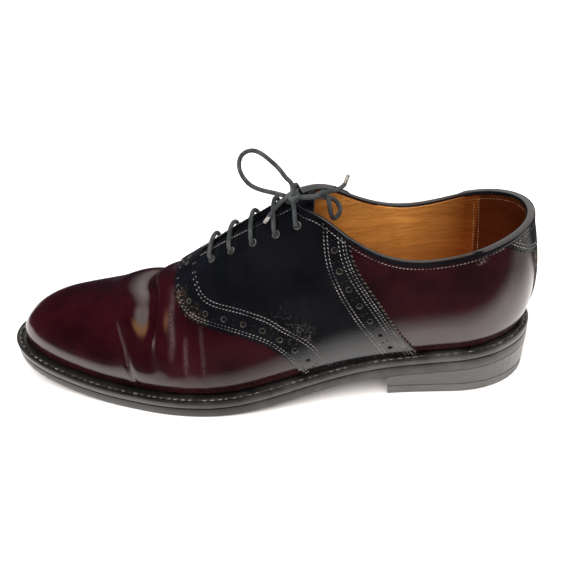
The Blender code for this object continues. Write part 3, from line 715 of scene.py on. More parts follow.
BACK_END = (
    (0.0312, -0.0106, 0.1112),
    (0.0365, -0.0112, 0.1113),
    (0.0422, -0.0090, 0.1120),
    (0.0458, -0.0055, 0.1113),
    (0.0492, -0.0040, 0.1112),
    (0.0532, 0.0000, 0.1123),
)
BACK_TIP = (
    (0.0532, 0.0000, 0.1123),
    (0.0551, 0.0000, 0.1173),
)
# Where each half of the lace turns inside the knot, between its loop and its end.
FRONT_TURN = ((0.0266, -0.0122, 0.1142),)
BACK_TURN = ((0.0285, -0.0120, 0.1115),)


def add_bow_half(name, loop, turn, end, replaced):
    """One half of the bow: from the knot round its loop, back through the knot and out."""
    path = smooth_route(loop + turn + end, BOW_STEPS)
    mesh = bmesh.new()
    add_tube(mesh, path, LACE_DIAMETER / 2)
    piece = new_object(name, mesh, LACE)
    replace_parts(piece, *replaced)


def add_lace_tip(name, ends, replaced):
    """The stiffened end: a thin sleeve, pale and scratched where it has worn."""
    mesh = bmesh.new()
    start, stop = Vector(ends[0]), Vector(ends[1])
    path = [start.lerp(stop, share) for share in (0.06, 0.3, 0.6, 0.94, 1.0)]
    add_tube(mesh, path, TIP_RADIUS)
    caps = [face for face in mesh.faces if len(face.verts) > 4]
    bmesh.ops.bevel(
        mesh,
        geom=list({edge for cap in caps for edge in cap.edges}),
        offset=TIP_BEVEL,
        segments=2,
        profile=0.5,
        material=-1,
        affect="EDGES",
    )
    piece = new_object(name, mesh, TIP)
    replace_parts(piece, replaced)
    return piece


TIP = speckled("lace_tip", 0.35, 0.0001, 700.0, 4.0, 0.35, 0.65, (0.10,) * 3, (0.50, 0.47, 0.42), 0.5)
tip_front = add_lace_tip("tip_front", FRONT_TIP, "lace_tip_front")
tip_back = add_lace_tip("tip_back", BACK_TIP, "lace_tip_back")


def eyelet_places():
    """(turn, rise) of each pair of lace holes, from the throat's front to the top."""
    turns = np.linspace(THROAT_TURN, COLLAR_TURN, 161)
    edge = last_point(turns, LATERAL, top_rise(turns, LATERAL))
    places = []
    for k in range(EYELET_PAIRS):
        turn = float(np.interp(EYELET_FIRST + EYELET_PITCH * k, run_lengths(edge), turns))
        places.append((turn, float(rise_at_inset(turn, eyelet_inset(turn)))))
    return places


def eyelet_inset(turn):
    return throat_gap(along(turn)) / 2 + EYELET_INSET


def over_facing(turn, side, inset, height):
    rise = rise_at_inset(turn, inset)
    return last_point(turn, side, rise) + last_normal(turn, side, rise) * height


EYELETS = eyelet_places()


def bar_half(turn, side, rise):
    """Up out of the hole and over the facing towards the ridge."""
    hole = eyelet_inset(turn)
    foot = last_point(turn, side, rise)
    out = last_normal(turn, side, rise)
    return [
        foot - out * BAR_DEPTH,
        foot - out * BAR_DEPTH / 3,
        foot + out * BAR_LOW / 3,
        over_facing(turn, side, hole - EYELET_RADIUS / 4, BAR_LOW),
        over_facing(turn, side, hole - EYELET_RADIUS * 1.2, BAR_HIGH),
    ]


def add_bar(name, points, steps, replaced):
    mesh = bmesh.new()
    add_tube(mesh, smooth_route(points, steps), LACE_DIAMETER / 2)
    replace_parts(new_object(name, mesh, LACE), replaced)


def add_bars():
    """The straight crossings. The top pair's two ends rise into the knot instead."""
    for k, (turn, rise) in enumerate(EYELETS):
        near = bar_half(turn, LATERAL, rise)
        far = bar_half(turn, MEDIAL, rise)
        halfway = eyelet_inset(turn) / 2
        far.append(over_facing(turn, MEDIAL, halfway, BAR_HIGH))
        far.append(over_facing(turn, LATERAL, 0.0, BAR_HIGH))
        if k < EYELET_PAIRS - 1:
            near.append(over_facing(turn, LATERAL, halfway, BAR_HIGH))
            add_bar(f"bar_{k + 1}", near + far[::-1], 60, f"lace_bar_{k + 1}")
        else:
            middle = over_facing(turn, LATERAL, KNOT_INSET, KNOT_HEIGHT)
            add_bar("bar_top_near", [*near, middle], 30, "lace_top_near")
            add_bar("bar_top_far", [*far, middle], 40, "lace_top_far")


# The knot's three turns of cord: how far each tilts, where it lies, and its size each way.
Strand = namedtuple("Strand", "tilt shift along across tall")
KNOT_STRANDS = (
    Strand(0.30, -0.0007, 0.0012, 0.0024, 0.0019),
    Strand(-0.35, 0.0009, 0.0012, 0.0022, 0.0018),
    Strand(1.25, 0.0000, 0.0010, 0.0023, 0.0014),
)
STRAND_STEPS = 25
STRAND_LEAD = 0.6
STRAND_RADIUS = LACE_DIAMETER / 2 * 0.96


def add_knot():
    """The knot: the wrap and the crossed strands that it holds."""
    turn = EYELETS[-1][0]
    middle = Vector(over_facing(turn, LATERAL, KNOT_INSET, KNOT_HEIGHT))
    rise = rise_at_inset(turn, KNOT_INSET)
    up = Vector(last_normal(turn, LATERAL, rise))
    across = Vector((1, 0, 0)).cross(up).normalized()
    onward = across.cross(up)
    mesh = bmesh.new()
    for strand in KNOT_STRANDS:
        sine, cosine = math.sin(strand.tilt), math.cos(strand.tilt)
        path = []
        for k in range(STRAND_STEPS + 2):
            angle = 2 * math.pi * k / STRAND_STEPS
            x = strand.along * math.sin(angle + STRAND_LEAD) + strand.shift
            y = strand.across * math.cos(angle)
            z = strand.tall * math.sin(angle)
            path.append(middle + onward * (x * cosine - y * sine) + across * (x * sine + y * cosine) + up * z)
        add_tube(mesh, path, STRAND_RADIUS)
    piece = new_object("knot", mesh, LACE)
    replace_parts(piece, "lace_knot")
    return piece


knot = add_knot()
bow_fronts = ("lace_loop_front", "lace_end_front")
bow_backs = ("lace_loop_back", "lace_end_back")
add_bow_half("bow_front", FRONT_LOOP, FRONT_TURN, FRONT_END, bow_fronts)
add_bow_half("bow_back", BACK_LOOP, BACK_TURN, BACK_END, bow_backs)
add_bars()

# Upper: vamp and quarters in burgundy polished leather, drawn tight over the last, with the
# creases of wear across the ball. Inside it is lined with tan leather, darker at the heel.
BURGUNDY_DEEP = (0.0095, 0.0006, 0.0015)
BURGUNDY_LIGHT = (0.0260, 0.0022, 0.0042)
BARE_LEATHER = (0.220, 0.180, 0.175)
FACING_BLACK = (0.004, 0.0042, 0.0055)
LINING_TAN = (0.820, 0.380, 0.090)
LINING_WORN = (0.640, 0.250, 0.044)
# Lining browns: the lining's own darker tones, also used as painted shade in its hollows.
LINING_BROWN_AND_SHADE = (0.180, 0.044, 0.007)
LINING_DARK_AND_SHADE = (0.070, 0.012, 0.004)
UPPER_COLUMNS = 64
WELDED = 0.00002
HEEL_SEAM_X = 0.1262
SEAM_BLUR = 0.0003


def finish_group():
    """Polished leather: mottled dye under wax, a hazier shine where it has worn, fine pores."""
    group, given, made = new_group(
        "leather_finish",
        (("Deep", "Color"), ("Light", "Color"), ("Smooth", "Float"), ("Hazy", "Float")),
        (("Color", "Color"), ("Roughness", "Float"), ("Height", "Float")),
    )
    mottle = ramp(group, noise(group, 38.0, 5.0, 0.6), 0.35, 0.70)
    join(group, between(group, mottle, given["Deep"], given["Light"]), made["Color"])
    haze = ramp(group, noise(group, 65.0, 6.0, 0.62), 0.35, 0.72, given["Smooth"], given["Hazy"])
    join(group, haze, made["Roughness"])
    pores = node(group, "ShaderNodeTexVoronoi", Scale=2100.0)
    join(group, spot_on_piece(group), pores.inputs["Vector"])
    soft = noise(group, 420.0, 5.0, 0.6)
    relief = calculate(group, "MULTIPLY_ADD", soft, 1.6, pores.outputs["Distance"])
    join(group, relief, made["Height"])
    return group


def rub_group():
    """Wear that is bounded: specks of a paler colour within the reach of a place."""
    group, given, made = new_group(
        "rubbed_spot",
        (
            ("Dyed", "Color"),
            ("Rubbed", "Color"),
            ("Place", "Vector"),
            ("Reach", "Float"),
            ("Fineness", "Float"),
            ("Low", "Float"),
            ("High", "Float"),
        ),
        (("Color", "Color"),),
    )
    gap = node(group, "ShaderNodeVectorMath", operation="DISTANCE")
    join(group, spot_on_piece(group), gap.inputs[0])
    join(group, given["Place"], gap.inputs[1])
    core = calculate(group, "MULTIPLY", given["Reach"], 0.3)
    inside = ramp(group, gap.outputs["Value"], given["Reach"], core)
    specks = ramp(group, noise(group, given["Fineness"], 6.0, 0.75), given["Low"], given["High"])
    mask = calculate(group, "MULTIPLY", inside, specks)
    join(group, between(group, mask, given["Dyed"], given["Rubbed"]), made["Color"])
    return group


FINISH = finish_group()
RUBBED = rub_group()


def leather(name, deep, light, rough_low, rough_high, coat_roughness, grain):
    """Polished leather in these two tones, under a thick coat of wax."""
    made, shader = material(name, deep, rough_low, coat=1.0, coat_roughness=coat_roughness)
    shader.inputs["Coat IOR"].default_value = 1.7
    shader.inputs["Specular IOR Level"].default_value = 0.05
    finish = place_group(made, FINISH, deep, light, rough_low, rough_high)
    join(made, finish["Color"], shader.inputs["Base Color"])
    join(made, finish["Roughness"], shader.inputs["Roughness"])
    bump(made, shader, finish["Height"], grain, coat=True)
    return made, shader


def dye_of(shader):
    """The socket that gives the shader its colour so far."""
    return shader.inputs["Base Color"].links[0].from_socket


def rub(made, shader, place, reach, fineness, low, high, colour):
    spot = place_group(made, RUBBED, dye_of(shader), colour, place, reach, fineness, low, high)
    join(made, spot["Color"], shader.inputs["Base Color"])


def spaced(breaks, counts):
    """Turns through the breaks, with that many rows between each two."""
    rows = [np.linspace(a, b, n, endpoint=False) for a, b, n in zip(breaks, breaks[1:], counts)]
    return np.concatenate([*rows, [breaks[-1]]])


def add_sheet(mesh, turns, columns, side, offset):
    """A grid over one side of the last, this far out of it: rows at the turns, columns from the
    feather line up to the upper's top edge. Returns its rows of vertices."""
    rows = len(turns)
    made = bmesh.ops.create_grid(mesh, x_segments=rows - 1, y_segments=columns, size=1.0)
    verts = made["verts"]
    i = np.array([round((v.co.x + 1) / 2 * (rows - 1)) for v in verts])
    j = np.array([round((v.co.y + 1) / 2 * columns) for v in verts])
    turn = np.asarray(turns)[i]
    rise = top_rise(turn, side) * j / columns
    for vertex, point in zip(verts, skin(turn, side, rise, offset)):
        vertex.co = point
    if side == MEDIAL:
        bmesh.ops.reverse_faces(mesh, faces=list({f for v in verts for f in v.link_faces}))
    table = [[None] * (columns + 1) for _ in range(rows)]
    for vertex, a, b in zip(verts, i, j):
        table[a][b] = vertex
    return table


def outward(mesh):
    """Turns the whole sheet's faces away from the shoe's inside."""
    score = 0.0
    for face in mesh.faces:
        middle = face.calc_center_median()
        score += face.normal.dot(middle - Vector((middle.x, 0.0, 0.045))) * face.calc_area()
    if score < 0:
        bmesh.ops.reverse_faces(mesh, faces=mesh.faces)


ALL_TURNS = spaced([0.0, COLLAR_TURN, THROAT_TURN, turn_of(0.80), 1.0], [60, 50, 120, 50])

UPPER, upper_shader = leather(
    "upper_leather", BURGUNDY_DEEP, BURGUNDY_LIGHT, 0.30, 0.46, 0.06, 0.000018
)
LINING, lining_shader = material("lining", LINING_TAN, 0.50, coat=0.15, coat_roughness=0.3)


def paint_lining():
    """Tan lining with patches of wear. Painted shade darkens it low in the shoe and towards the toe. Towards
    the heel it darkens, partly its own brown and partly painted shade. Behind its seam is the dark sock,
    painted lighter towards its top as painted light.
    """
    spot = spot_on_piece(LINING)
    parts = parts_of(LINING, spot)
    tan = LINING_TAN
    for where, tone in (
        (ramp(LINING, noise(LINING, 34.0, 6.0, 0.65), 0.36, 0.68), LINING_WORN),
        # Painted shade: darker low in the shoe.
        (ramp(LINING, parts["Z"], 0.075, 0.030), LINING_BROWN_AND_SHADE),
        # Darker towards the heel: partly the lining's own brown, partly painted shade.
        (ramp(LINING, parts["X"], 0.086, 0.120), LINING_BROWN_AND_SHADE),
        # Painted shade: darker deep towards the toe.
        (ramp(LINING, parts["X"], 0.040, 0.010), LINING_DARK_AND_SHADE),
    ):
        tan = between(LINING, where, tan, tone)
    # The sock behind the seam: dark, painted lighter towards its top as painted light.
    sock = between(LINING, ramp(LINING, parts["Z"], 0.090, 0.108), LINING_DARK_AND_SHADE, LINING_BROWN_AND_SHADE)
    behind = ramp(LINING, parts["X"], HEEL_SEAM_X - SEAM_BLUR, HEEL_SEAM_X + SEAM_BLUR)
    join(LINING, between(LINING, behind, tan, sock), lining_shader.inputs["Base Color"])
    stretched = node(LINING, "ShaderNodeMapping", Scale=(0.35, 1.0, 1.5))
    join(LINING, spot, stretched.inputs["Vector"])
    folds = noise(LINING, 75.0, 3.0, 0.5, stretched.outputs["Vector"])
    relief = calculate(LINING, "MULTIPLY_ADD", folds, 9.0, noise(LINING, 900.0, 5.0))
    bump(LINING, lining_shader, relief, 0.00016)


paint_lining()

# Where the creases have cracked the finish to a pale fray: the fray's width and its points, as
# (place round the section, share of the length, strength).
Fray = namedtuple("Fray", "width line")
FRAYS = (
    Fray(
        0.0008,
        (
            (-0.98, 0.733, 0.0), (-0.80, 0.741, 0.6), (-0.62, 0.745, 1.0),
            (-0.47, 0.757, 0.9), (-0.36, 0.767, 0.0),
        ),
    ),
    Fray(
        0.0017,
        (
            (-0.78, 0.651, 0.0), (-0.61, 0.646, 1.0), (-0.45, 0.650, 0.9),
            (-0.31, 0.649, 0.8), (-0.14, 0.658, 0.0),
        ),
    ),
    Fray(
        0.0012,
        (
            (-0.90, 0.624, 0.0), (-0.78, 0.622, 0.9), (-0.66, 0.620, 0.8),
            (-0.58, 0.618, 0.0),
        ),
    ),
    Fray(
        0.0009,
        (
            (-0.92, 0.590, 0.0), (-0.80, 0.588, 0.7), (-0.62, 0.588, 0.5),
            (-0.54, 0.588, 0.0),
        ),
    ),
    Fray(
        0.0016,
        (
            (0.35, 0.650, 0.0), (0.50, 0.648, 0.8), (0.70, 0.651, 0.7),
            (0.85, 0.655, 0.0),
        ),
    ),
    Fray(
        0.0011,
        (
            (0.50, 0.738, 0.0), (0.65, 0.742, 0.8), (0.80, 0.740, 0.0),
        ),
    ),
)


def fray_at(turn, side, rise):
    around = side * (1 - 2 * rise / np.pi)
    share = along(turn)
    total = np.zeros(np.broadcast(around, share).shape)
    for fray in FRAYS:
        places = [row[0] for row in fray.line]
        line = np.interp(around, places, [row[1] for row in fray.line])
        strong = np.interp(around, places, [row[2] for row in fray.line], left=0.0, right=0.0)
        total = total + strong * np.exp(-(((share - line) * LAST_LENGTH / fray.width) ** 2))
    return np.minimum(total, 1.0)


def paint_attribute(name):
    return node(UPPER, "ShaderNodeAttribute", attribute_name=name).outputs["Fac"]


def paint_fray():
    """Fine upright streaks of bare leather where the attribute says that the finish has cracked."""
    streak = node(UPPER, "ShaderNodeMapping", Scale=(1.0, 0.6, 0.28))
    join(UPPER, spot_on_piece(UPPER), streak.inputs["Vector"])
    lines = ramp(UPPER, noise(UPPER, 2600.0, 5.0, 0.7, streak.outputs["Vector"]), 0.42, 0.66, 0.0, 0.5)
    mask = calculate(UPPER, "MULTIPLY", paint_attribute("fray"), lines)
    frayed = between(UPPER, mask, dye_of(upper_shader), BARE_LEATHER)
    join(UPPER, frayed, upper_shader.inputs["Base Color"])
    join(UPPER, calculate(UPPER, "SUBTRACT", 1.0, mask), upper_shader.inputs["Coat Weight"])


def paint_facing():
    """The facings' inner rims are black, like the leather laid over them."""
    blacked = between(UPPER, paint_attribute("facing"), dye_of(upper_shader), FACING_BLACK)
    join(UPPER, blacked, upper_shader.inputs["Base Color"])


paint_fray()
paint_facing()
mesh = bmesh.new()
fray_layer = mesh.verts.layers.float.new("fray")
facing_layer = mesh.verts.layers.float.new("facing")
for side in (LATERAL, MEDIAL):
    rows = add_sheet(mesh, ALL_TURNS, UPPER_COLUMNS, side, 0.0)
    for turn, row in zip(ALL_TURNS, rows):
        rise = float(top_rise(turn, side)) * np.arange(UPPER_COLUMNS + 1) / UPPER_COLUMNS
        for vertex, amount in zip(row, fray_at(turn, side, rise)):
            vertex[fray_layer] = float(amount)
        if COLLAR_TURN <= turn <= THROAT_TURN:
            for vertex in row[-3:]:
                vertex[facing_layer] = 1.0
bmesh.ops.remove_doubles(mesh, verts=mesh.verts, dist=WELDED)
mesh.normal_update()
outward(mesh)
outer_tree = BVHTree.FromBMesh(mesh)
upper = new_object("upper_leather", mesh, UPPER)
upper.data.materials.append(LINING)
wall = upper.modifiers.new("wall", "SOLIDIFY")
wall.thickness = WALL
wall.offset = -1.0
wall.material_offset = 1
wall.material_offset_rim = 0
wall.use_even_offset = False
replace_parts(upper, "upper")

# Saddle: black polished leather laid over the waist and instep on both sides, with pinked
# edges, bands of punched holes along them and twin rows of stitches beside the bands.
BLACK_DEEP = (0.0016, 0.0018, 0.0026)
BLACK_LIGHT = (0.0050, 0.0054, 0.0072)
PINK_PITCH = 0.0026
PINK_DEPTH = 0.0006
OVERLAY_LIFT = FIT_GAP + OVERLAY_THICK
OVERLAY_UNDER = 0.00005
CUT_INDEX = 1
HOLE_INDEX = 2
CUTTER_REACH = 0.08

Border = namedtuple("Border", "share height")
SADDLE_FRONT = (
    Border(0.654, 1.04),
    Border(0.650, 0.76),
    Border(0.636, 0.69),
    Border(0.606, 0.62),
    Border(0.562, 0.58),
    Border(0.512, 0.51),
    Border(0.464, 0.39),
    Border(0.427, 0.18),
    Border(0.409, 0.03),
    Border(0.398, -0.10),
)
SADDLE_REAR = (
    Border(0.314, 1.60),
    Border(0.314, 1.25),
    Border(0.313, 0.95),
    Border(0.292, 0.72),
    Border(0.259, 0.46),
    Border(0.226, 0.19),
    Border(0.203, 0.02),
    Border(0.192, -0.10),
)
HEEL_TAB = (
    Border(0.128, 1.12),
    Border(0.099, 0.955),
    Border(0.060, 0.855),
    Border(0.018, 0.725),
    Border(-0.02, 0.65),
    Border(-0.06, 0.64),
)


def side_view(share, height):
    """(x, z) of a place given as a share of the length and a share of the instep's height."""
    x = HEEL_X - share * LAST_LENGTH
    return np.array([x, float(feather_z(x)) + height * INSTEP_HEIGHT])


def side_curve(rows, pitch, inset=0.0):
    """Points every pitch along the smooth border seen from the side, moved inset to the left of
    its own direction."""
    points = np.array([side_view(row.share, row.height) for row in rows])
    places = run_lengths(points)
    at = np.linspace(0, places[-1], max(2, round(places[-1] / pitch)) + 1)
    curve = [spline(places, points[:, axis]) for axis in range(2)]
    line = np.stack([c(at) for c in curve], -1)
    ahead = unit(np.stack([c(at + 1e-4) - c(at - 1e-4) for c in curve], -1))
    left = np.stack([-ahead[:, 1], ahead[:, 0]], -1)
    return line + left * inset


def pinked(rows):
    """The border with its zigzag of small teeth."""
    line = side_curve(rows, PINK_PITCH / 4)
    ahead = unit(np.gradient(line, axis=0))
    left = np.stack([-ahead[:, 1], ahead[:, 0]], -1)
    swing = np.array([0.0, 1.0, 0.0, -1.0])[np.arange(len(line)) % 4]
    return line + left * (swing * PINK_DEPTH)[:, None]


def hidden_cutter(name, mesh):
    data = bpy.data.meshes.new(name)
    mesh.to_mesh(data)
    mesh.free()
    cutter = bpy.data.objects.new(name, data)
    bpy.context.scene.collection.objects.link(cutter)
    return cutter


def side_prism(name, outline):
    """A hidden cutter: the outline, seen from the side, through the whole width."""
    mesh = bmesh.new()
    corners = [mesh.verts.new((x, -CUTTER_REACH, z)) for x, z in outline]
    face = mesh.faces.new(corners)
    grown = bmesh.ops.extrude_face_region(mesh, geom=[face])
    moved = [v for v in grown["geom"] if isinstance(v, bmesh.types.BMVert)]
    bmesh.ops.translate(mesh, verts=moved, vec=(0, 2 * CUTTER_REACH, 0))
    bmesh.ops.recalc_face_normals(mesh, faces=mesh.faces)
    for face in mesh.faces:
        face.material_index = CUT_INDEX
    return hidden_cutter(name, mesh)


def overlay_mesh(turns, columns):
    """A closed wall of overlay leather over both sides of the last."""
    mesh = bmesh.new()
    for side in (LATERAL, MEDIAL):
        inner = add_sheet(mesh, turns, columns, side, OVERLAY_UNDER)
        outer = add_sheet(mesh, turns, columns, side, OVERLAY_LIFT)
        rims = [([row[k] for row in inner], [row[k] for row in outer]) for k in (0, -1)]
        rims.append((inner[-1], outer[-1]))
        if turns[0] > 0:
            rims.append((inner[0], outer[0]))
        for a, b in rims:
            for k in range(len(a) - 1):
                mesh.faces.new((a[k], a[k + 1], b[k + 1], b[k]))
    bmesh.ops.remove_doubles(mesh, verts=mesh.verts, dist=WELDED)
    bmesh.ops.recalc_face_normals(mesh, faces=mesh.faces)
    return mesh


def carve(piece, cutter, operation):
    """Applies a boolean of the cutter to the piece, and removes the cutter."""
    step = piece.modifiers.new(cutter.name, "BOOLEAN")
    step.operation = operation
    step.solver = "EXACT"
    step.object = cutter
    graph = bpy.context.evaluated_depsgraph_get()
    shaped = bpy.data.meshes.new_from_object(piece.evaluated_get(graph))
    piece.modifiers.clear()
    old = piece.data
    piece.data = shaped
    bpy.data.meshes.remove(old)
    bpy.data.objects.remove(cutter)


def smooth_sides(piece):
    piece.data.shade_smooth()
    piece.data.set_sharp_from_angle(angle=math.radians(35))


def tree_of(piece):
    mesh = bmesh.new()
    mesh.from_mesh(piece.data)
    tree = BVHTree.FromBMesh(mesh)
    mesh.free()
    return tree


def cast(tree, x, z, side):
    """(point, normal) where a level line from outside first meets the leather at x and z."""
    start = Vector((x, side * 0.15, z))
    point, normal, _, _ = tree.ray_cast(start, Vector((0, -side, 0)))
    if point is None:
        return None
    if normal.y * side < 0:
        normal = -normal
    return point, normal


def row_on(tree, line, side):
    """The line's places on the leather, as (point, normal, direction)."""
    found = [cast(tree, x, z, side) for x, z in line]
    row = []
    for k, hit in enumerate(found):
        if hit is None:
            continue
        near = [found[m] for m in (k - 1, k + 1) if 0 <= m < len(found) and found[m]]
        if not near:
            continue
        ahead = near[-1][0] - (near[0][0] if len(near) > 1 else hit[0])
        if ahead.length < 1e-6:
            continue
        row.append((hit[0], hit[1], ahead.normalized()))
    return row


BIG_HOLE = 0.00145
SMALL_HOLE = 0.00055
SMALL_APART = 0.0013
BAND_HOLE_DEPTH = 0.0011
LACE_HOLE_DEPTH = 0.0030
TAB_HOLE_DEPTH = 0.0009
BAND_PITCH = 0.0105


def band_holes(band, side):
    """A band's holes: one large hole each pitch and a pair of small ones between."""
    holes = []
    row = row_on(saddle_tree, side_curve(band, BAND_PITCH / 2), side)
    for k, (point, normal, ahead) in enumerate(row):
        if k % 2 == 0:
            holes.append((point, normal, BIG_HOLE))
            continue
        across = normal.cross(ahead)
        for way in (-1, 1):
            holes.append((point + across * SMALL_APART * way, normal, SMALL_HOLE))
    return holes


def standing(point, normal):
    """The placement of something that stands on the leather at the point."""
    return Matrix.Translation(point) @ normal.to_track_quat("Z", "Y").to_matrix().to_4x4()


def hole_pins(name, places, depth):
    """A hidden cutter with a pin at each hole, which goes this deep."""
    mesh = bmesh.new()
    for point, normal, radius in places:
        bmesh.ops.create_cone(
            mesh,
            cap_ends=True,
            segments=10 if radius == SMALL_HOLE else 16,
            radius1=radius,
            radius2=radius,
            depth=2 * depth,
            matrix=standing(point, normal),
        )
    for face in mesh.faces:
        face.material_index = CUT_INDEX if len(face.verts) == 4 else HOLE_INDEX
    return hidden_cutter(name, mesh)


def add_overlay(name, turns, columns, cutter):
    """A piece of black overlay leather, of what the hidden cutter leaves of the wall."""
    piece = new_object(name, overlay_mesh(turns, columns), SADDLE)
    piece.data.materials.append(CUT_EDGE)
    piece.data.materials.append(HOLE)
    carve(piece, cutter, "INTERSECT")
    return piece


CUT_EDGE = speckled(
    "cut_edge", 0.75, 0.0001, 300.0, 5.0, 0.35, 0.65, (0.020, 0.018, 0.017), (0.120, 0.100, 0.080)
)
HOLE = speckled("hole", 0.8, 0.0, 300.0, 4.0, 0.0, 1.0, (0.002, 0.002, 0.002), (0.014, 0.012, 0.011))
SADDLE, saddle_shader = leather("saddle_leather", BLACK_DEEP, BLACK_LIGHT, 0.30, 0.48, 0.07, 0.00002)
saddle_turns = spaced([0.19, COLLAR_TURN, THROAT_TURN, 0.66], [90, 70, 30])
saddle_outline = np.concatenate([pinked(SADDLE_FRONT), pinked(SADDLE_REAR)[::-1]])
saddle = add_overlay("saddle_leather", saddle_turns, 52, side_prism("saddle_outline", saddle_outline))
saddle_tree = tree_of(saddle)


def outer_spot(share, height):
    """The place on the shoe's outer side that is seen there from the side."""
    return cast(outer_tree, *side_view(share, height), LATERAL)[0]


DUST = (0.120, 0.110, 0.105)
BROWN_RUB = (0.130, 0.080, 0.048)
SCUFF = (0.210, 0.180, 0.175)
for share, height, reach, fineness, low, high, colour in (
    (0.430, 0.530, 0.0160, 900.0, 0.58, 0.70, DUST),
    (0.404, 0.420, 0.0090, 500.0, 0.50, 0.72, DUST),
    (0.634, 0.680, 0.0090, 700.0, 0.48, 0.66, BROWN_RUB),
    (0.600, 0.615, 0.0100, 700.0, 0.50, 0.68, BROWN_RUB),
):
    rub(SADDLE, saddle_shader, outer_spot(share, height), reach, fineness, low, high, colour)
for share, height, reach in ((0.094, 0.790, 0.0030), (0.101, 0.765, 0.0020)):
    rub(UPPER, upper_shader, outer_spot(share, height), reach, 900.0, 0.50, 0.64, SCUFF)

FRONT_BAND = (
    Border(0.626, 0.839),
    Border(0.628, 0.812),
    Border(0.623, 0.779),
    Border(0.613, 0.734),
    Border(0.592, 0.690),
    Border(0.558, 0.665),
    Border(0.526, 0.628),
    Border(0.494, 0.581),
    Border(0.462, 0.499),
    Border(0.434, 0.384),
    Border(0.408, 0.238),
    Border(0.386, 0.100),
)
REAR_BAND = (
    Border(0.340, 1.150),
    Border(0.336, 0.884),
    Border(0.324, 0.745),
    Border(0.308, 0.604),
    Border(0.291, 0.460),
    Border(0.272, 0.310),
    Border(0.255, 0.164),
    Border(0.240, 0.049),
)
hole_places = []
eyelet_holes = []
for side in (LATERAL, MEDIAL):
    hole_places += band_holes(FRONT_BAND, side) + band_holes(REAR_BAND, side)
for turn, rise in EYELETS:
    for side in (LATERAL, MEDIAL):
        point = Vector(last_point(turn, side, rise))
        normal = Vector(last_normal(turn, side, rise))
        eyelet_holes.append((point + normal * OVERLAY_LIFT, normal, EYELET_RADIUS))
carve(saddle, hole_pins("band_holes", hole_places, BAND_HOLE_DEPTH), "DIFFERENCE")
carve(saddle, hole_pins("lace_holes", eyelet_holes, LACE_HOLE_DEPTH), "DIFFERENCE")
smooth_sides(saddle)
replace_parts(saddle, "saddle")

# Heel tab: the same black leather round the back of the collar, pinked below, with a small
# medallion of punched holes on each side.
ABOVE_ALL = 0.13
tab_line = pinked(HEEL_TAB)
tab_outline = np.concatenate([[[HEEL_X + 0.02, ABOVE_ALL], [tab_line[0][0], ABOVE_ALL]], tab_line])
tab = add_overlay("heel_tab_leather", spaced([0.0, 0.24], [60]), 44, side_prism("tab_outline", tab_outline))
tab_tree = tree_of(tab)
tab_holes = []
for side in (LATERAL, MEDIAL):
    for share, height, radius in (
        (0.030, 0.865, BIG_HOLE * 0.8),
        (0.046, 0.885, SMALL_HOLE),
        (0.038, 0.835, SMALL_HOLE),
        (0.018, 0.815, SMALL_HOLE),
        (0.022, 0.905, SMALL_HOLE),
        (0.012, 0.860, SMALL_HOLE),
    ):
        hit = cast(tab_tree, *side_view(share, height), side)
        if hit:
            tab_holes.append((hit[0], hit[1], radius))
carve(tab, hole_pins("tab_holes", tab_holes, TAB_HOLE_DEPTH), "DIFFERENCE")
smooth_sides(tab)
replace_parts(tab, "heel_tab")

# Back strip: a narrow black strap over the back seam, from the tab down to the welt. Its foot
# goes a little below the feather line, out of sight.
BACK_STRIP_WIDTH = 0.0080
strip_top = feather_z(HEEL_X) + HEEL_TAB[-1].height * INSTEP_HEIGHT - FIT_GAP
strip_foot = feather_z(HEEL_X) - 0.004
mesh = bmesh.new()
bmesh.ops.create_cube(mesh, size=1.0)
bmesh.ops.scale(mesh, verts=mesh.verts, vec=(0.04, BACK_STRIP_WIDTH, strip_top - strip_foot))
bmesh.ops.translate(mesh, verts=mesh.verts, vec=(HEEL_X, SIDE_SHIFT, (strip_top + strip_foot) / 2))
for face in mesh.faces:
    face.material_index = CUT_INDEX
strip_cutter = hidden_cutter("strip_outline", mesh)
strip = add_overlay("back_strip_leather", spaced([0.0, 0.10], [40]), 44, strip_cutter)
smooth_sides(strip)
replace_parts(strip, "back_strip")

# Topline binding: a rolled strip of black leather round the collar.
# Its section, in mm out of the wall and up from the wall's top edge.
BINDING_SECTION = (
    (0.10, -1.7),
    (0.45, -1.6),
    (0.56, -0.9),
    (0.58, 0.0),
    (0.56, 0.45),
    (0.36, 0.90),
    (-0.20, 1.22),
    (-1.00, 1.34),
    (-1.65, 1.18),
    (-2.08, 0.80),
    (-2.30, 0.30),
    (-2.34, -0.20),
    (-2.30, -0.50),
    (-2.20, -0.60),
    (-2.15, -0.20),
    (-0.05, -0.20),
)

BINDING = leather("binding_leather", BLACK_DEEP, BLACK_LIGHT, 0.30, 0.42, 0.05, 0.000012)[0]


def edge_frame(turn, side):
    """Middle of the upper's top rim, the way up along the wall and the way out of it."""
    top = top_rise(turn, side)
    rim = last_point(turn, side, top)
    up = unit(rim - last_point(turn, side, top - 0.02))
    return rim, up, last_normal(turn, side, top)


def add_strip(mesh, sections, closed_rows=False):
    """A skin through the sections, each a closed ring of as many points."""
    rows, columns = len(sections), len(sections[0])
    extra = 1 if closed_rows else 0
    made = bmesh.ops.create_grid(mesh, x_segments=rows - 1 + extra, y_segments=columns, size=1.0)
    for vertex in made["verts"]:
        i = round((vertex.co.x + 1) / 2 * (rows - 1 + extra))
        j = round((vertex.co.y + 1) / 2 * columns)
        vertex.co = sections[i % rows][j % columns]
    bmesh.ops.remove_doubles(mesh, verts=made["verts"], dist=WELDED / 20)
    bmesh.ops.holes_fill(mesh, edges=mesh.edges, sides=0)
    bmesh.ops.recalc_face_normals(mesh, faces=mesh.faces)


def over_overlay(share):
    """1 where the tab or the saddle lies under the binding, 0 between them."""
    on_tab = np.clip((0.110 - share) / 0.014, 0.0, 1.0)
    on_saddle = np.clip((share - 0.311) / 0.006, 0.0, 1.0)
    return on_tab + on_saddle


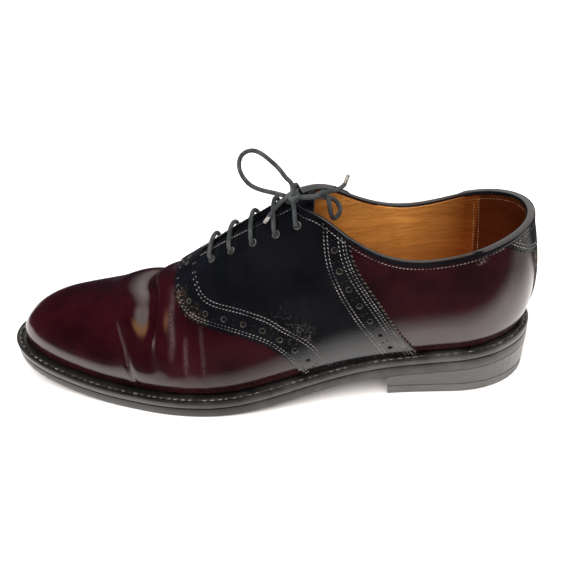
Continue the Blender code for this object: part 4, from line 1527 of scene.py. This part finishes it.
collar_turns = np.linspace(0.0, COLLAR_TURN, 150)
sections = []
for side, turns in ((LATERAL, collar_turns[::-1]), (MEDIAL, collar_turns[1:])):
    rims, ups, outs = edge_frame(turns, side)
    lifts = OVERLAY_LIFT * over_overlay(along(turns))
    for rim, up, out, lift in zip(rims, ups, outs, lifts):
        ring = []
        for across, high in BINDING_SECTION:
            spread = lift * min(1.0, max(0.0, (across + 1.0) / 1.5))
            ring.append(rim + out * (across / 1000 + spread) + up * high / 1000)
        sections.append(ring)
mesh = bmesh.new()
add_strip(mesh, sections)
binding = new_object("topline_binding_leather", mesh, BINDING, 50)
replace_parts(binding, "topline_binding")

# Stitches: fine waxed thread, dusty grey with painted highlights, sewn in twin rows beside the bands, along
# the facings, under the topline and round the heel tab.
STITCH_PITCH = 0.00185
STITCH_LONG = 0.00150
STITCH_WIDE = 0.00052
STITCH_SLANT = math.radians(16)
ROW_GAP = 0.0018
COLLAR_ROW = 0.0034
FACING_ROW = 0.0026
RISE_STEP = 0.02
THREAD_DARK = (0.060, 0.060, 0.062)
THREAD_DUST_AND_HIGHLIGHT = (0.330, 0.320, 0.300)

THREAD, thread_shader = material("thread", THREAD_DARK, 0.6)
# Pale patches: dust on the thread and painted highlight.
thread_dust_and_highlight = place_group(THREAD, SPECKLE, 110.0, 4.0, 0.40, 0.62, THREAD_DARK, THREAD_DUST_AND_HIGHLIGHT)
join(THREAD, thread_dust_and_highlight["Color"], thread_shader.inputs["Base Color"])
twist = node(THREAD, "ShaderNodeTexWave", Scale=1900.0, Distortion=1.0)
join(THREAD, spot_on_piece(THREAD), twist.inputs["Vector"])
bump(THREAD, thread_shader, twist.outputs["Fac"], 0.00005)


def add_stitches(mesh, row, slant=STITCH_SLANT, long=STITCH_LONG, wide=STITCH_WIDE, sunk=0.0):
    """One stitch at each place of the row."""
    for point, normal, ahead in row:
        ahead = (ahead - normal * ahead.dot(normal)).normalized()
        across = normal.cross(ahead)
        axes = Matrix((ahead, across, normal)).transposed().to_4x4()
        place = Matrix.Translation(point + normal * (wide * 0.15 - sunk)) @ axes
        size = Matrix.Diagonal((long / 2, wide / 2, wide / 2, 1))
        turned = Matrix.Rotation(slant, 4, "Z")
        bmesh.ops.create_icosphere(mesh, subdivisions=1, radius=1.0, matrix=place @ turned @ size)


def leather_tree():
    """Every outer leather surface, to lay stitches and holes on."""
    mesh = bmesh.new()
    for piece in (saddle, tab, strip, upper):
        mesh.from_mesh(piece.data)
    tree = BVHTree.FromBMesh(mesh)
    mesh.free()
    return tree


def heading(points, k):
    """The direction of the row of points at its place k."""
    before = Vector(points[max(k - 1, 0)])
    after = Vector(points[min(k + 1, len(points) - 1)])
    return (after - before).normalized()


def snapped(tree, points):
    """The points moved to the nearest leather, each with its normal and the row's direction."""
    row = []
    for k, point in enumerate(points):
        spot, normal, _, _ = tree.find_nearest(Vector(point))
        out = Vector(point) - Vector((point[0], 0.0, 0.04))
        if normal.dot(out) < 0:
            normal = -normal
        row.append((spot, normal, heading(points, k)))
    return row


def rise_reach(turns, side, rise):
    """How far the last's surface runs, just below this rise, for each unit of it."""
    below = last_point(turns, side, rise - RISE_STEP)
    return np.linalg.norm(last_point(turns, side, rise) - below, axis=-1) / RISE_STEP


def evenly(points, pitch):
    """The line through the points, cut into places one pitch apart."""
    points = np.array(points, float)
    lengths = run_lengths(points)
    at = np.arange(pitch / 2, lengths[-1], pitch)
    return np.stack([np.interp(at, lengths, points[:, axis]) for axis in range(3)], -1)


FRONT_INNER = (
    Border(0.612, 0.900),
    Border(0.607, 0.870),
    Border(0.604, 0.846),
    Border(0.598, 0.820),
    Border(0.589, 0.781),
    Border(0.574, 0.748),
    Border(0.546, 0.720),
    Border(0.510, 0.682),
    Border(0.487, 0.641),
    Border(0.463, 0.585),
    Border(0.439, 0.494),
    Border(0.415, 0.405),
    Border(0.394, 0.306),
    Border(0.380, 0.209),
    Border(0.362, 0.060),
)
REAR_INNER = (
    Border(0.356, 1.230),
    Border(0.357, 1.077),
    Border(0.355, 0.951),
    Border(0.351, 0.858),
    Border(0.343, 0.756),
    Border(0.332, 0.637),
    Border(0.316, 0.494),
    Border(0.299, 0.354),
    Border(0.282, 0.229),
    Border(0.262, 0.060),
)
leathers = leather_tree()
mesh = bmesh.new()
for side in (LATERAL, MEDIAL):
    for rows, insets in (
        (SADDLE_FRONT[:-1], (0.0017, 0.0031)),
        (FRONT_INNER, (0.0, ROW_GAP)),
        (SADDLE_REAR[1:-1], (-0.0017, -0.0031, -0.0050)),
        (REAR_INNER, (0.0, ROW_GAP)),
        (HEEL_TAB, (0.0016, 0.0030)),
    ):
        for inset in insets:
            line = side_curve(rows, STITCH_PITCH, inset)
            add_stitches(mesh, row_on(leathers, line, side))
    turns = np.linspace(0.0, COLLAR_TURN, 200)
    top = top_rise(turns, side)
    foot = last_point(turns, side, top - COLLAR_ROW / rise_reach(turns, side, top))
    line = foot + last_normal(turns, side, top) * 0.001
    add_stitches(mesh, snapped(leathers, evenly(line, STITCH_PITCH)))
    turns = np.linspace(COLLAR_TURN, THROAT_TURN, 100)
    facing = rise_at_inset(turns, throat_gap(along(turns)) / 2 + FACING_ROW)
    line = skin(turns, side, facing, OVERLAY_LIFT)
    add_stitches(mesh, snapped(leathers, evenly(line, STITCH_PITCH)))
new_object("upper_stitches", mesh, THREAD)

# Lining stitches: a row under the topline and two up the seam of the heel's sock, in tan
# thread that has darkened with the lining.
LINING_ROW = 0.0030
SEAM_HALF = 0.0013
LINING_MIDDLE_X = 0.09
TAN_THREAD = speckled(
    "tan_thread", 0.6, 0.00005, 200.0, 4.0, 0.40, 0.62, (0.210, 0.095, 0.036), (0.420, 0.300, 0.180)
)


def add_lining_row(mesh, line):
    """Stitches along the line, on the side of the wall that faces the shoe's hollow."""
    spots = evenly(line, STITCH_PITCH)
    row = []
    for k, spot in enumerate(spots):
        inwards = Vector((LINING_MIDDLE_X, SIDE_SHIFT, spot[2])) - Vector(spot)
        row.append((Vector(spot), inwards.normalized(), heading(spots, k)))
    add_stitches(mesh, row)


mesh = bmesh.new()
for side in (LATERAL, MEDIAL):
    turns = np.linspace(0.0, COLLAR_TURN, 200)
    top = top_rise(turns, side)
    foot = last_point(turns, side, top - LINING_ROW / rise_reach(turns, side, top))
    add_lining_row(mesh, foot - last_normal(turns, side, top) * WALL)
    for seam_x in (HEEL_SEAM_X - SEAM_HALF, HEEL_SEAM_X + SEAM_HALF):
        turn = turn_of((HEEL_X - seam_x) / LAST_LENGTH)
        heights = np.linspace(0.25, 0.97, 90) * float(top_rise(turn, side))
        add_lining_row(mesh, last_point(turn, side, heights) - last_normal(turn, side, heights) * WALL)
new_object("lining_stitches", mesh, TAN_THREAD)

# Tongue: black leather under the facings, soft enough to show a few folds where the foot
# bends. It narrows at its top and at its hidden front end.
TONGUE_GAP = 0.0014
TONGUE_THICK = 0.0018
TONGUE_WIDTH = 0.0420
TONGUE_TUCK = 0.0180
TONGUE_RISE = 0.0055
TONGUE_COLUMNS = 40
TONGUE_TOP_WIDTH = 0.72
TONGUE_TIP_WIDTH = 0.45
TONGUE_ROUND = 14
TONGUE_ROOM = 0.80
RIPPLE_DEPTH = 0.00025
RIPPLE_RATE = 310
TONGUE = leather("tongue_leather", BLACK_DEEP, BLACK_LIGHT, 0.40, 0.55, 0.25, 0.00006)[0]
tongue_front = turn_of(THROAT_FRONT + TONGUE_TUCK / LAST_LENGTH)
tongue_top = turn_of(CORNER_SHARE - TONGUE_RISE / LAST_LENGTH)
tongue_turns = np.linspace(tongue_top, tongue_front, 90)
sections = []
for turn in tongue_turns:
    from_top = TONGUE_TOP_WIDTH + (turn - tongue_top) * TONGUE_ROUND
    from_tip = TONGUE_TIP_WIDTH + (tongue_front - turn) * TONGUE_ROUND
    half = TONGUE_WIDTH / 2 * min(1.0, from_top, from_tip)
    half = min(half, float(half_width(along(turn))) * TONGUE_ROOM)
    across = np.linspace(-half, half, TONGUE_COLUMNS + 1)
    side = np.where(across < 0, LATERAL, MEDIAL)
    rise = rise_at_inset(turn, np.abs(across))
    ripple = RIPPLE_DEPTH * np.sin(along(turn) * RIPPLE_RATE) * (1 - (across / half) ** 2)
    skin_point = last_point(turn, side, rise)
    out = last_normal(turn, side, rise)
    outer = skin_point + out * (-WALL - TONGUE_GAP - FIT_GAP + ripple)[:, None]
    inner = skin_point + out * (-WALL - TONGUE_GAP - TONGUE_THICK)
    sections.append(np.concatenate([outer, inner[::-1]]))
mesh = bmesh.new()
add_strip(mesh, sections)
tongue = new_object("tongue_leather", mesh, TONGUE, 50)
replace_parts(tongue, "tongue")

# Eyelet rims: the punched lace holes have no metal, and their edges are rubbed pale, like
# those of the bands' large holes.
RIM_THICK = 0.00028
HOLE_RIM_THICK = 0.00012
HOLE_RIM_SHIFT = 0.00008
RIM = speckled(
    "eyelet_rim", 0.55, 0.0001, 500.0, 4.0, 0.35, 0.65, (0.022, 0.021, 0.020), (0.170, 0.160, 0.145)
)


def add_rim(mesh, point, normal, radius, thick, steps):
    """A thin ring round a hole."""
    turned = standing(point, normal)
    sections = []
    for k in range(steps):
        around = 2 * math.pi * k / steps
        way = Vector((math.cos(around), math.sin(around), 0.0))
        ring = []
        for m in range(6):
            angle = math.pi * m / 3
            spot = way * (radius + thick * math.cos(angle)) + Vector((0, 0, thick * math.sin(angle)))
            ring.append(turned @ spot)
        sections.append(ring)
    rim = bmesh.new()
    add_strip(rim, sections, closed_rows=True)
    data = bpy.data.meshes.new("rim")
    rim.to_mesh(data)
    rim.free()
    mesh.from_mesh(data)
    bpy.data.meshes.remove(data)


mesh = bmesh.new()
for point, normal, radius in eyelet_holes:
    add_rim(mesh, point, normal, radius, RIM_THICK, 24)
for point, normal, radius in hole_places:
    if radius == BIG_HOLE:
        sunk = point - normal * HOLE_RIM_SHIFT
        add_rim(mesh, sunk, normal, radius + HOLE_RIM_SHIFT, HOLE_RIM_THICK, 14)
new_object("eyelet_rims", mesh, RIM)

# Sole: leather outsole and the welt that joins it to the upper, both blacked and polished at the
# edge, with a row of lockstitch on the welt and a channel of it under the sole.
EDGE_ROUND = 0.0008
EDGE_DEEP = (0.0080, 0.0078, 0.0076)
EDGE_LIGHT = (0.0220, 0.0212, 0.0204)
WELT_TUCK = 0.0070
SOLE_ROWS = 180
EDGE_SCUFF = (0.055, 0.052, 0.050)
EDGE_TOE_SHADE = (0.0045, 0.0045, 0.0046)
CHANNEL = 0.0046
CHANNEL_HALF = 0.0006
CHANNEL_DEPTH = 0.0005


def welt_margin(turn):
    """How far the welt's outer edge stands out of the feather line."""
    s = np.clip((along(turn) - 0.22) / 0.30, 0.0, 1.0)
    return WELT_MARGIN_HEEL + (WELT_MARGIN - WELT_MARGIN_HEEL) * s * s * (3 - 2 * s)


def edge_point(turn, side, margin, lift):
    """A point this far outside the feather line, at this height above the sole's underside."""
    plan = plan_point(turn, side) + plan_normal(turn, side) * np.asarray(margin)[..., None]
    return np.stack([plan[..., 0], plan[..., 1], sole_bottom(plan[..., 0]) + lift], -1)


def edge_group():
    """Inked leather edge: fine fibres along it, scuffs, and painted shade that darkens it from the waist to
    the toe.
    """
    group, given, made = new_group(
        "inked_edge",
        (("Deep", "Color"), ("Light", "Color"), ("Roughness", "Float")),
        (("Color", "Color"), ("Roughness", "Float"), ("Height", "Float")),
    )
    fibre = node(group, "ShaderNodeMapping", Scale=(1.0, 1.0, 14.0))
    join(group, spot_on_piece(group), fibre.inputs["Vector"])
    grain = noise(group, 90.0, 6.0, 0.7, fibre.outputs["Vector"])
    scuff = ramp(group, noise(group, 45.0, 6.0, 0.7), 0.45, 0.75)
    mixed = between(group, ramp(group, grain, 0.40, 0.70), given["Deep"], given["Light"])
    scuffed = between(group, scuff, mixed, EDGE_SCUFF)
    # Painted shade: the edge darkens from the waist towards the toe.
    blacked = ramp(group, parts_of(group, spot_on_piece(group))["X"], 0.02, -0.10, 0.0, 0.85)
    join(group, between(group, blacked, scuffed, EDGE_TOE_SHADE), made["Color"])
    smooth = calculate(group, "SUBTRACT", given["Roughness"], 0.08)
    rough = calculate(group, "ADD", given["Roughness"], 0.12)
    join(group, ramp(group, grain, 0.3, 0.7, smooth, rough), made["Roughness"])
    join(group, grain, made["Height"])
    return group


EDGE_FINISH = edge_group()


def edge_material(name, deep, light, roughness, coat):
    """Inked leather edge in these two tones, with a dull polish."""
    made, shader = material(name, deep, roughness, coat=coat, coat_roughness=0.25)
    finish = place_group(made, EDGE_FINISH, deep, light, roughness)
    join(made, finish["Color"], shader.inputs["Base Color"])
    join(made, finish["Roughness"], shader.inputs["Roughness"])
    bump(made, shader, finish["Height"], 0.00010)
    return made


def section_ring(turn, levels):
    """One closed section across the sole: levels lists (margin, lift) up the outer edge."""
    ring = [edge_point(turn, LATERAL, margin, lift) for margin, lift in levels]
    return ring + [edge_point(turn, MEDIAL, margin, lift) for margin, lift in levels[::-1]]


SOLE = edge_material("sole_edge", EDGE_DEEP, EDGE_LIGHT, 0.42, 0.35)
sole_turns = spaced([0.0, 0.5, 1.0], [SOLE_ROWS // 2, SOLE_ROWS // 2])
sections = []
for turn in sole_turns:
    margin = float(welt_margin(turn))
    low_round = EDGE_ROUND * float(np.clip((along(turn) - 0.27) / 0.05, 0.12, 1.0))
    levels = [
        (margin - CHANNEL - CHANNEL_HALF, 0.0),
        (margin - CHANNEL, CHANNEL_DEPTH),
        (margin - CHANNEL + CHANNEL_HALF, 0.0),
        (margin - low_round, 0.0),
        (margin - low_round * 0.3, low_round * 0.3),
        (margin, low_round),
        (margin, SOLE_THICK / 2),
        (margin, SOLE_THICK - EDGE_ROUND / 2),
        (margin - EDGE_ROUND * 0.2, SOLE_THICK - EDGE_ROUND * 0.15),
        (margin - EDGE_ROUND, SOLE_THICK),
    ]
    sections.append(section_ring(turn, levels))
mesh = bmesh.new()
add_strip(mesh, sections)
bmesh.ops.remove_doubles(mesh, verts=mesh.verts, dist=WELDED / 4)
outsole = new_object("outsole_leather", mesh, SOLE, 40)
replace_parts(outsole, "outsole")

WELT_DEEP = (0.0050, 0.0050, 0.0050)
WELT_LIGHT = (0.0150, 0.0146, 0.0142)
WELT_ROW = 0.62
WELT_ROW_HALF = 0.0007
WELT = edge_material("welt_leather", WELT_DEEP, WELT_LIGHT, 0.36, 0.4)
loop = [(turn, LATERAL) for turn in sole_turns] + [(turn, MEDIAL) for turn in sole_turns[-2:0:-1]]
sections = []
foot = SOLE_THICK + FIT_GAP
for turn, side in loop:
    margin = float(welt_margin(turn))
    profile = [
        (-WELT_TUCK, 0.0),
        (margin - EDGE_ROUND, 0.0),
        (margin - EDGE_ROUND * 0.25, EDGE_ROUND * 0.2),
        (margin, EDGE_ROUND / 2),
        (margin, WELT_THICK - EDGE_ROUND),
        (margin - EDGE_ROUND * 0.3, WELT_THICK - EDGE_ROUND * 0.3),
        (margin - EDGE_ROUND, WELT_THICK),
        (margin * WELT_ROW + WELT_ROW_HALF, WELT_THICK),
        (margin * WELT_ROW, WELT_THICK - 0.0004),
        (margin * WELT_ROW - WELT_ROW_HALF, WELT_THICK),
        (0.0010, WELT_THICK - 0.0002),
        (0.0, WELT_THICK - 0.0006),
        (-WELT_TUCK, WELT_THICK - 0.0006),
    ]
    sections.append([edge_point(turn, side, out, foot + lift) for out, lift in profile])
mesh = bmesh.new()
add_strip(mesh, sections, closed_rows=True)
welt = new_object("welt_leather", mesh, WELT, 40)
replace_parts(welt, "welt")

# The thread of the welt: long stitches on top of it and in the channel under the sole, black
# once and dusty now.
WELT_STITCH_PITCH = 0.0042
WELT_STITCH_LONG = 0.0034
WELT_STITCH_SLANT = 0.10
WELT_THREAD = speckled(
    "welt_thread", 0.7, 0.0001, 260.0, 4.0, 0.42, 0.66, (0.016, 0.016, 0.016), (0.200, 0.195, 0.185)
)
mesh = bmesh.new()
for side in (LATERAL, MEDIAL):
    turns = np.linspace(0.0, 1.0, 600)
    margin = welt_margin(turns)
    top = edge_point(turns, side, margin * WELT_ROW, foot + WELT_THICK)
    under = edge_point(turns, side, margin - CHANNEL, 0.0003)
    for line, up, wide in ((top, 1, 0.0011), (under, -1, 0.0007)):
        spots = evenly(line, WELT_STITCH_PITCH)
        row = [(Vector(spot), Vector((0, 0, up)), heading(spots, k)) for k, spot in enumerate(spots)]
        add_stitches(mesh, row, WELT_STITCH_SLANT, WELT_STITCH_LONG, wide, wide * 0.35)
new_object("welt_stitches", mesh, WELT_THREAD)

# Insole and heel: the brown sock that lies on the insole, the inked lifts of stacked leather,
# and the rubber piece that they stand on.
SOCK_LIGHT = (0.330, 0.115, 0.026)
SOCK_DARK = (0.200, 0.062, 0.014)
INSOLE, insole_shader = material("insole_leather", LINING_TAN, 0.55)
sock = place_group(INSOLE, SPECKLE, 30.0, 5.0, 0.35, 0.70, SOCK_LIGHT, SOCK_DARK)
join(INSOLE, sock["Color"], insole_shader.inputs["Base Color"])
bump(INSOLE, insole_shader, noise(INSOLE, 800.0, 5.0), 0.00008)
HEEL = edge_material("heel_lifts", (0.040, 0.040, 0.039), (0.075, 0.073, 0.071), 0.40, 0.5)
RUBBER = edge_material("heel_rubber", (0.078, 0.078, 0.076), (0.135, 0.133, 0.130), 0.55, 0.2)
for name, finish in (("insole", INSOLE), ("heel_stack", HEEL), ("heel_top_piece", RUBBER)):
    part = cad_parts[name]
    part.data.materials.clear()
    part.data.materials.append(finish)

# Stage: a pale table, a white surround for the camera, and soft light. The glossy leather mirrors
# the near part of the table, a dim room, a window behind the shoe and a warm lamp in front.
TABLE_WHITE = 0.90
# Where the part of the table that the leather mirrors ends, in front of the toe, waist and heel.
MIRRORED_FRONT = (-0.085, -0.074, -0.099)
MIRRORED_HEEL = 0.27
TABLE_DIM = (0.03, 0.03, 0.036)
SUN_POWER = 4.2
SUN_WIDTH = math.radians(80)
SUN_WAY = (0.20, 0.45, -1.0)
WHITE = (1.0, 1.0, 1.0)
CEILING = (1.50, 1.42, 1.34)
WARM_EDGE = (2.20, 1.15, 0.50)
WINDOW = (1.10, 1.06, 1.00)
ROOM = (0.020, 0.023, 0.032)

mesh = bmesh.new()
bmesh.ops.create_grid(mesh, x_segments=8, y_segments=8, size=3.0)
data = bpy.data.meshes.new("table")
mesh.to_mesh(data)
mesh.free()
table = bpy.data.objects.new("table", data)
bpy.context.scene.collection.objects.link(table)
TABLE, table_shader = material("table", (TABLE_WHITE,) * 3, 0.8)
table_shader.inputs["Specular IOR Level"].default_value = 0.0
parts = parts_of(TABLE, spot_on_piece(TABLE))
toe_limit, waist_limit, heel_limit = MIRRORED_FRONT
front_limit = ramp(TABLE, parts["X"], -0.10, -0.02, toe_limit, waist_limit)
rear_limit = ramp(TABLE, parts["X"], 0.02, 0.10, 0.0, heel_limit - waist_limit)
limit = calculate(TABLE, "ADD", front_limit, rear_limit)
near = ramp(TABLE, calculate(TABLE, "SUBTRACT", parts["Y"], limit), -0.026, 0.026)
behind = ramp(TABLE, parts["Y"], 0.055, 0.085)
behind = calculate(TABLE, "MULTIPLY", behind, ramp(TABLE, parts["X"], -0.25, -0.18))
covered = calculate(TABLE, "MAXIMUM", behind, ramp(TABLE, parts["Y"], 0.10, 0.18))
open_side = calculate(TABLE, "MULTIPLY", near, calculate(TABLE, "SUBTRACT", 1.0, covered))
ahead = ramp(TABLE, parts["X"], MIRRORED_HEEL + 0.05, MIRRORED_HEEL - 0.05, 0.30, 1.0)
dim = calculate(TABLE, "SUBTRACT", 1.0, calculate(TABLE, "MULTIPLY", open_side, ahead))
# In glossy rays the table is painted dim beyond the mirrored part: a painted shadow of the room round the
# shoe, seen only in reflections.
in_mirror = node(TABLE, "ShaderNodeLightPath").outputs["Is Glossy Ray"]
shade = between(TABLE, calculate(TABLE, "MULTIPLY", in_mirror, dim), (TABLE_WHITE,) * 3, TABLE_DIM)
join(TABLE, shade, table_shader.inputs["Base Color"])
table.data.materials.append(TABLE)

sun_data = bpy.data.lights.new("daylight", "SUN")
sun_data.energy = SUN_POWER
sun_data.angle = SUN_WIDTH
sun = bpy.data.objects.new("daylight", sun_data)
sun.rotation_euler = Vector(SUN_WAY).to_track_quat("-Z", "Y").to_euler()
sun.visible_glossy = False
bpy.context.scene.collection.objects.link(sun)

world = bpy.data.worlds.new("room")
world.use_nodes = True
bpy.context.scene.world = world
way = parts_of(world, node(world, "ShaderNodeTexCoord").outputs["Generated"])
height = calculate(world, "MULTIPLY_ADD", way["X"], 0.28, way["Z"])
low_edge = ramp(world, height, 0.64, 0.80)
warm = calculate(world, "MULTIPLY", low_edge, ramp(world, way["Y"], -0.10, -0.45))
sideways = calculate(world, "MULTIPLY_ADD", way["Y"], 0.33, way["X"])
window = calculate(
    world, "MULTIPLY", ramp(world, sideways, -0.12, 0.14), ramp(world, way["Z"], 0.14, 0.42)
)
room = between(world, warm, ROOM, WARM_EDGE)
room = between(world, ramp(world, height, 0.84, 0.97), room, CEILING)
room = between(world, window, room, WINDOW)
seen = between(world, node(world, "ShaderNodeLightPath").outputs["Is Camera Ray"], room, WHITE)
join(world, seen, world.node_tree.nodes["Background"].inputs["Color"])
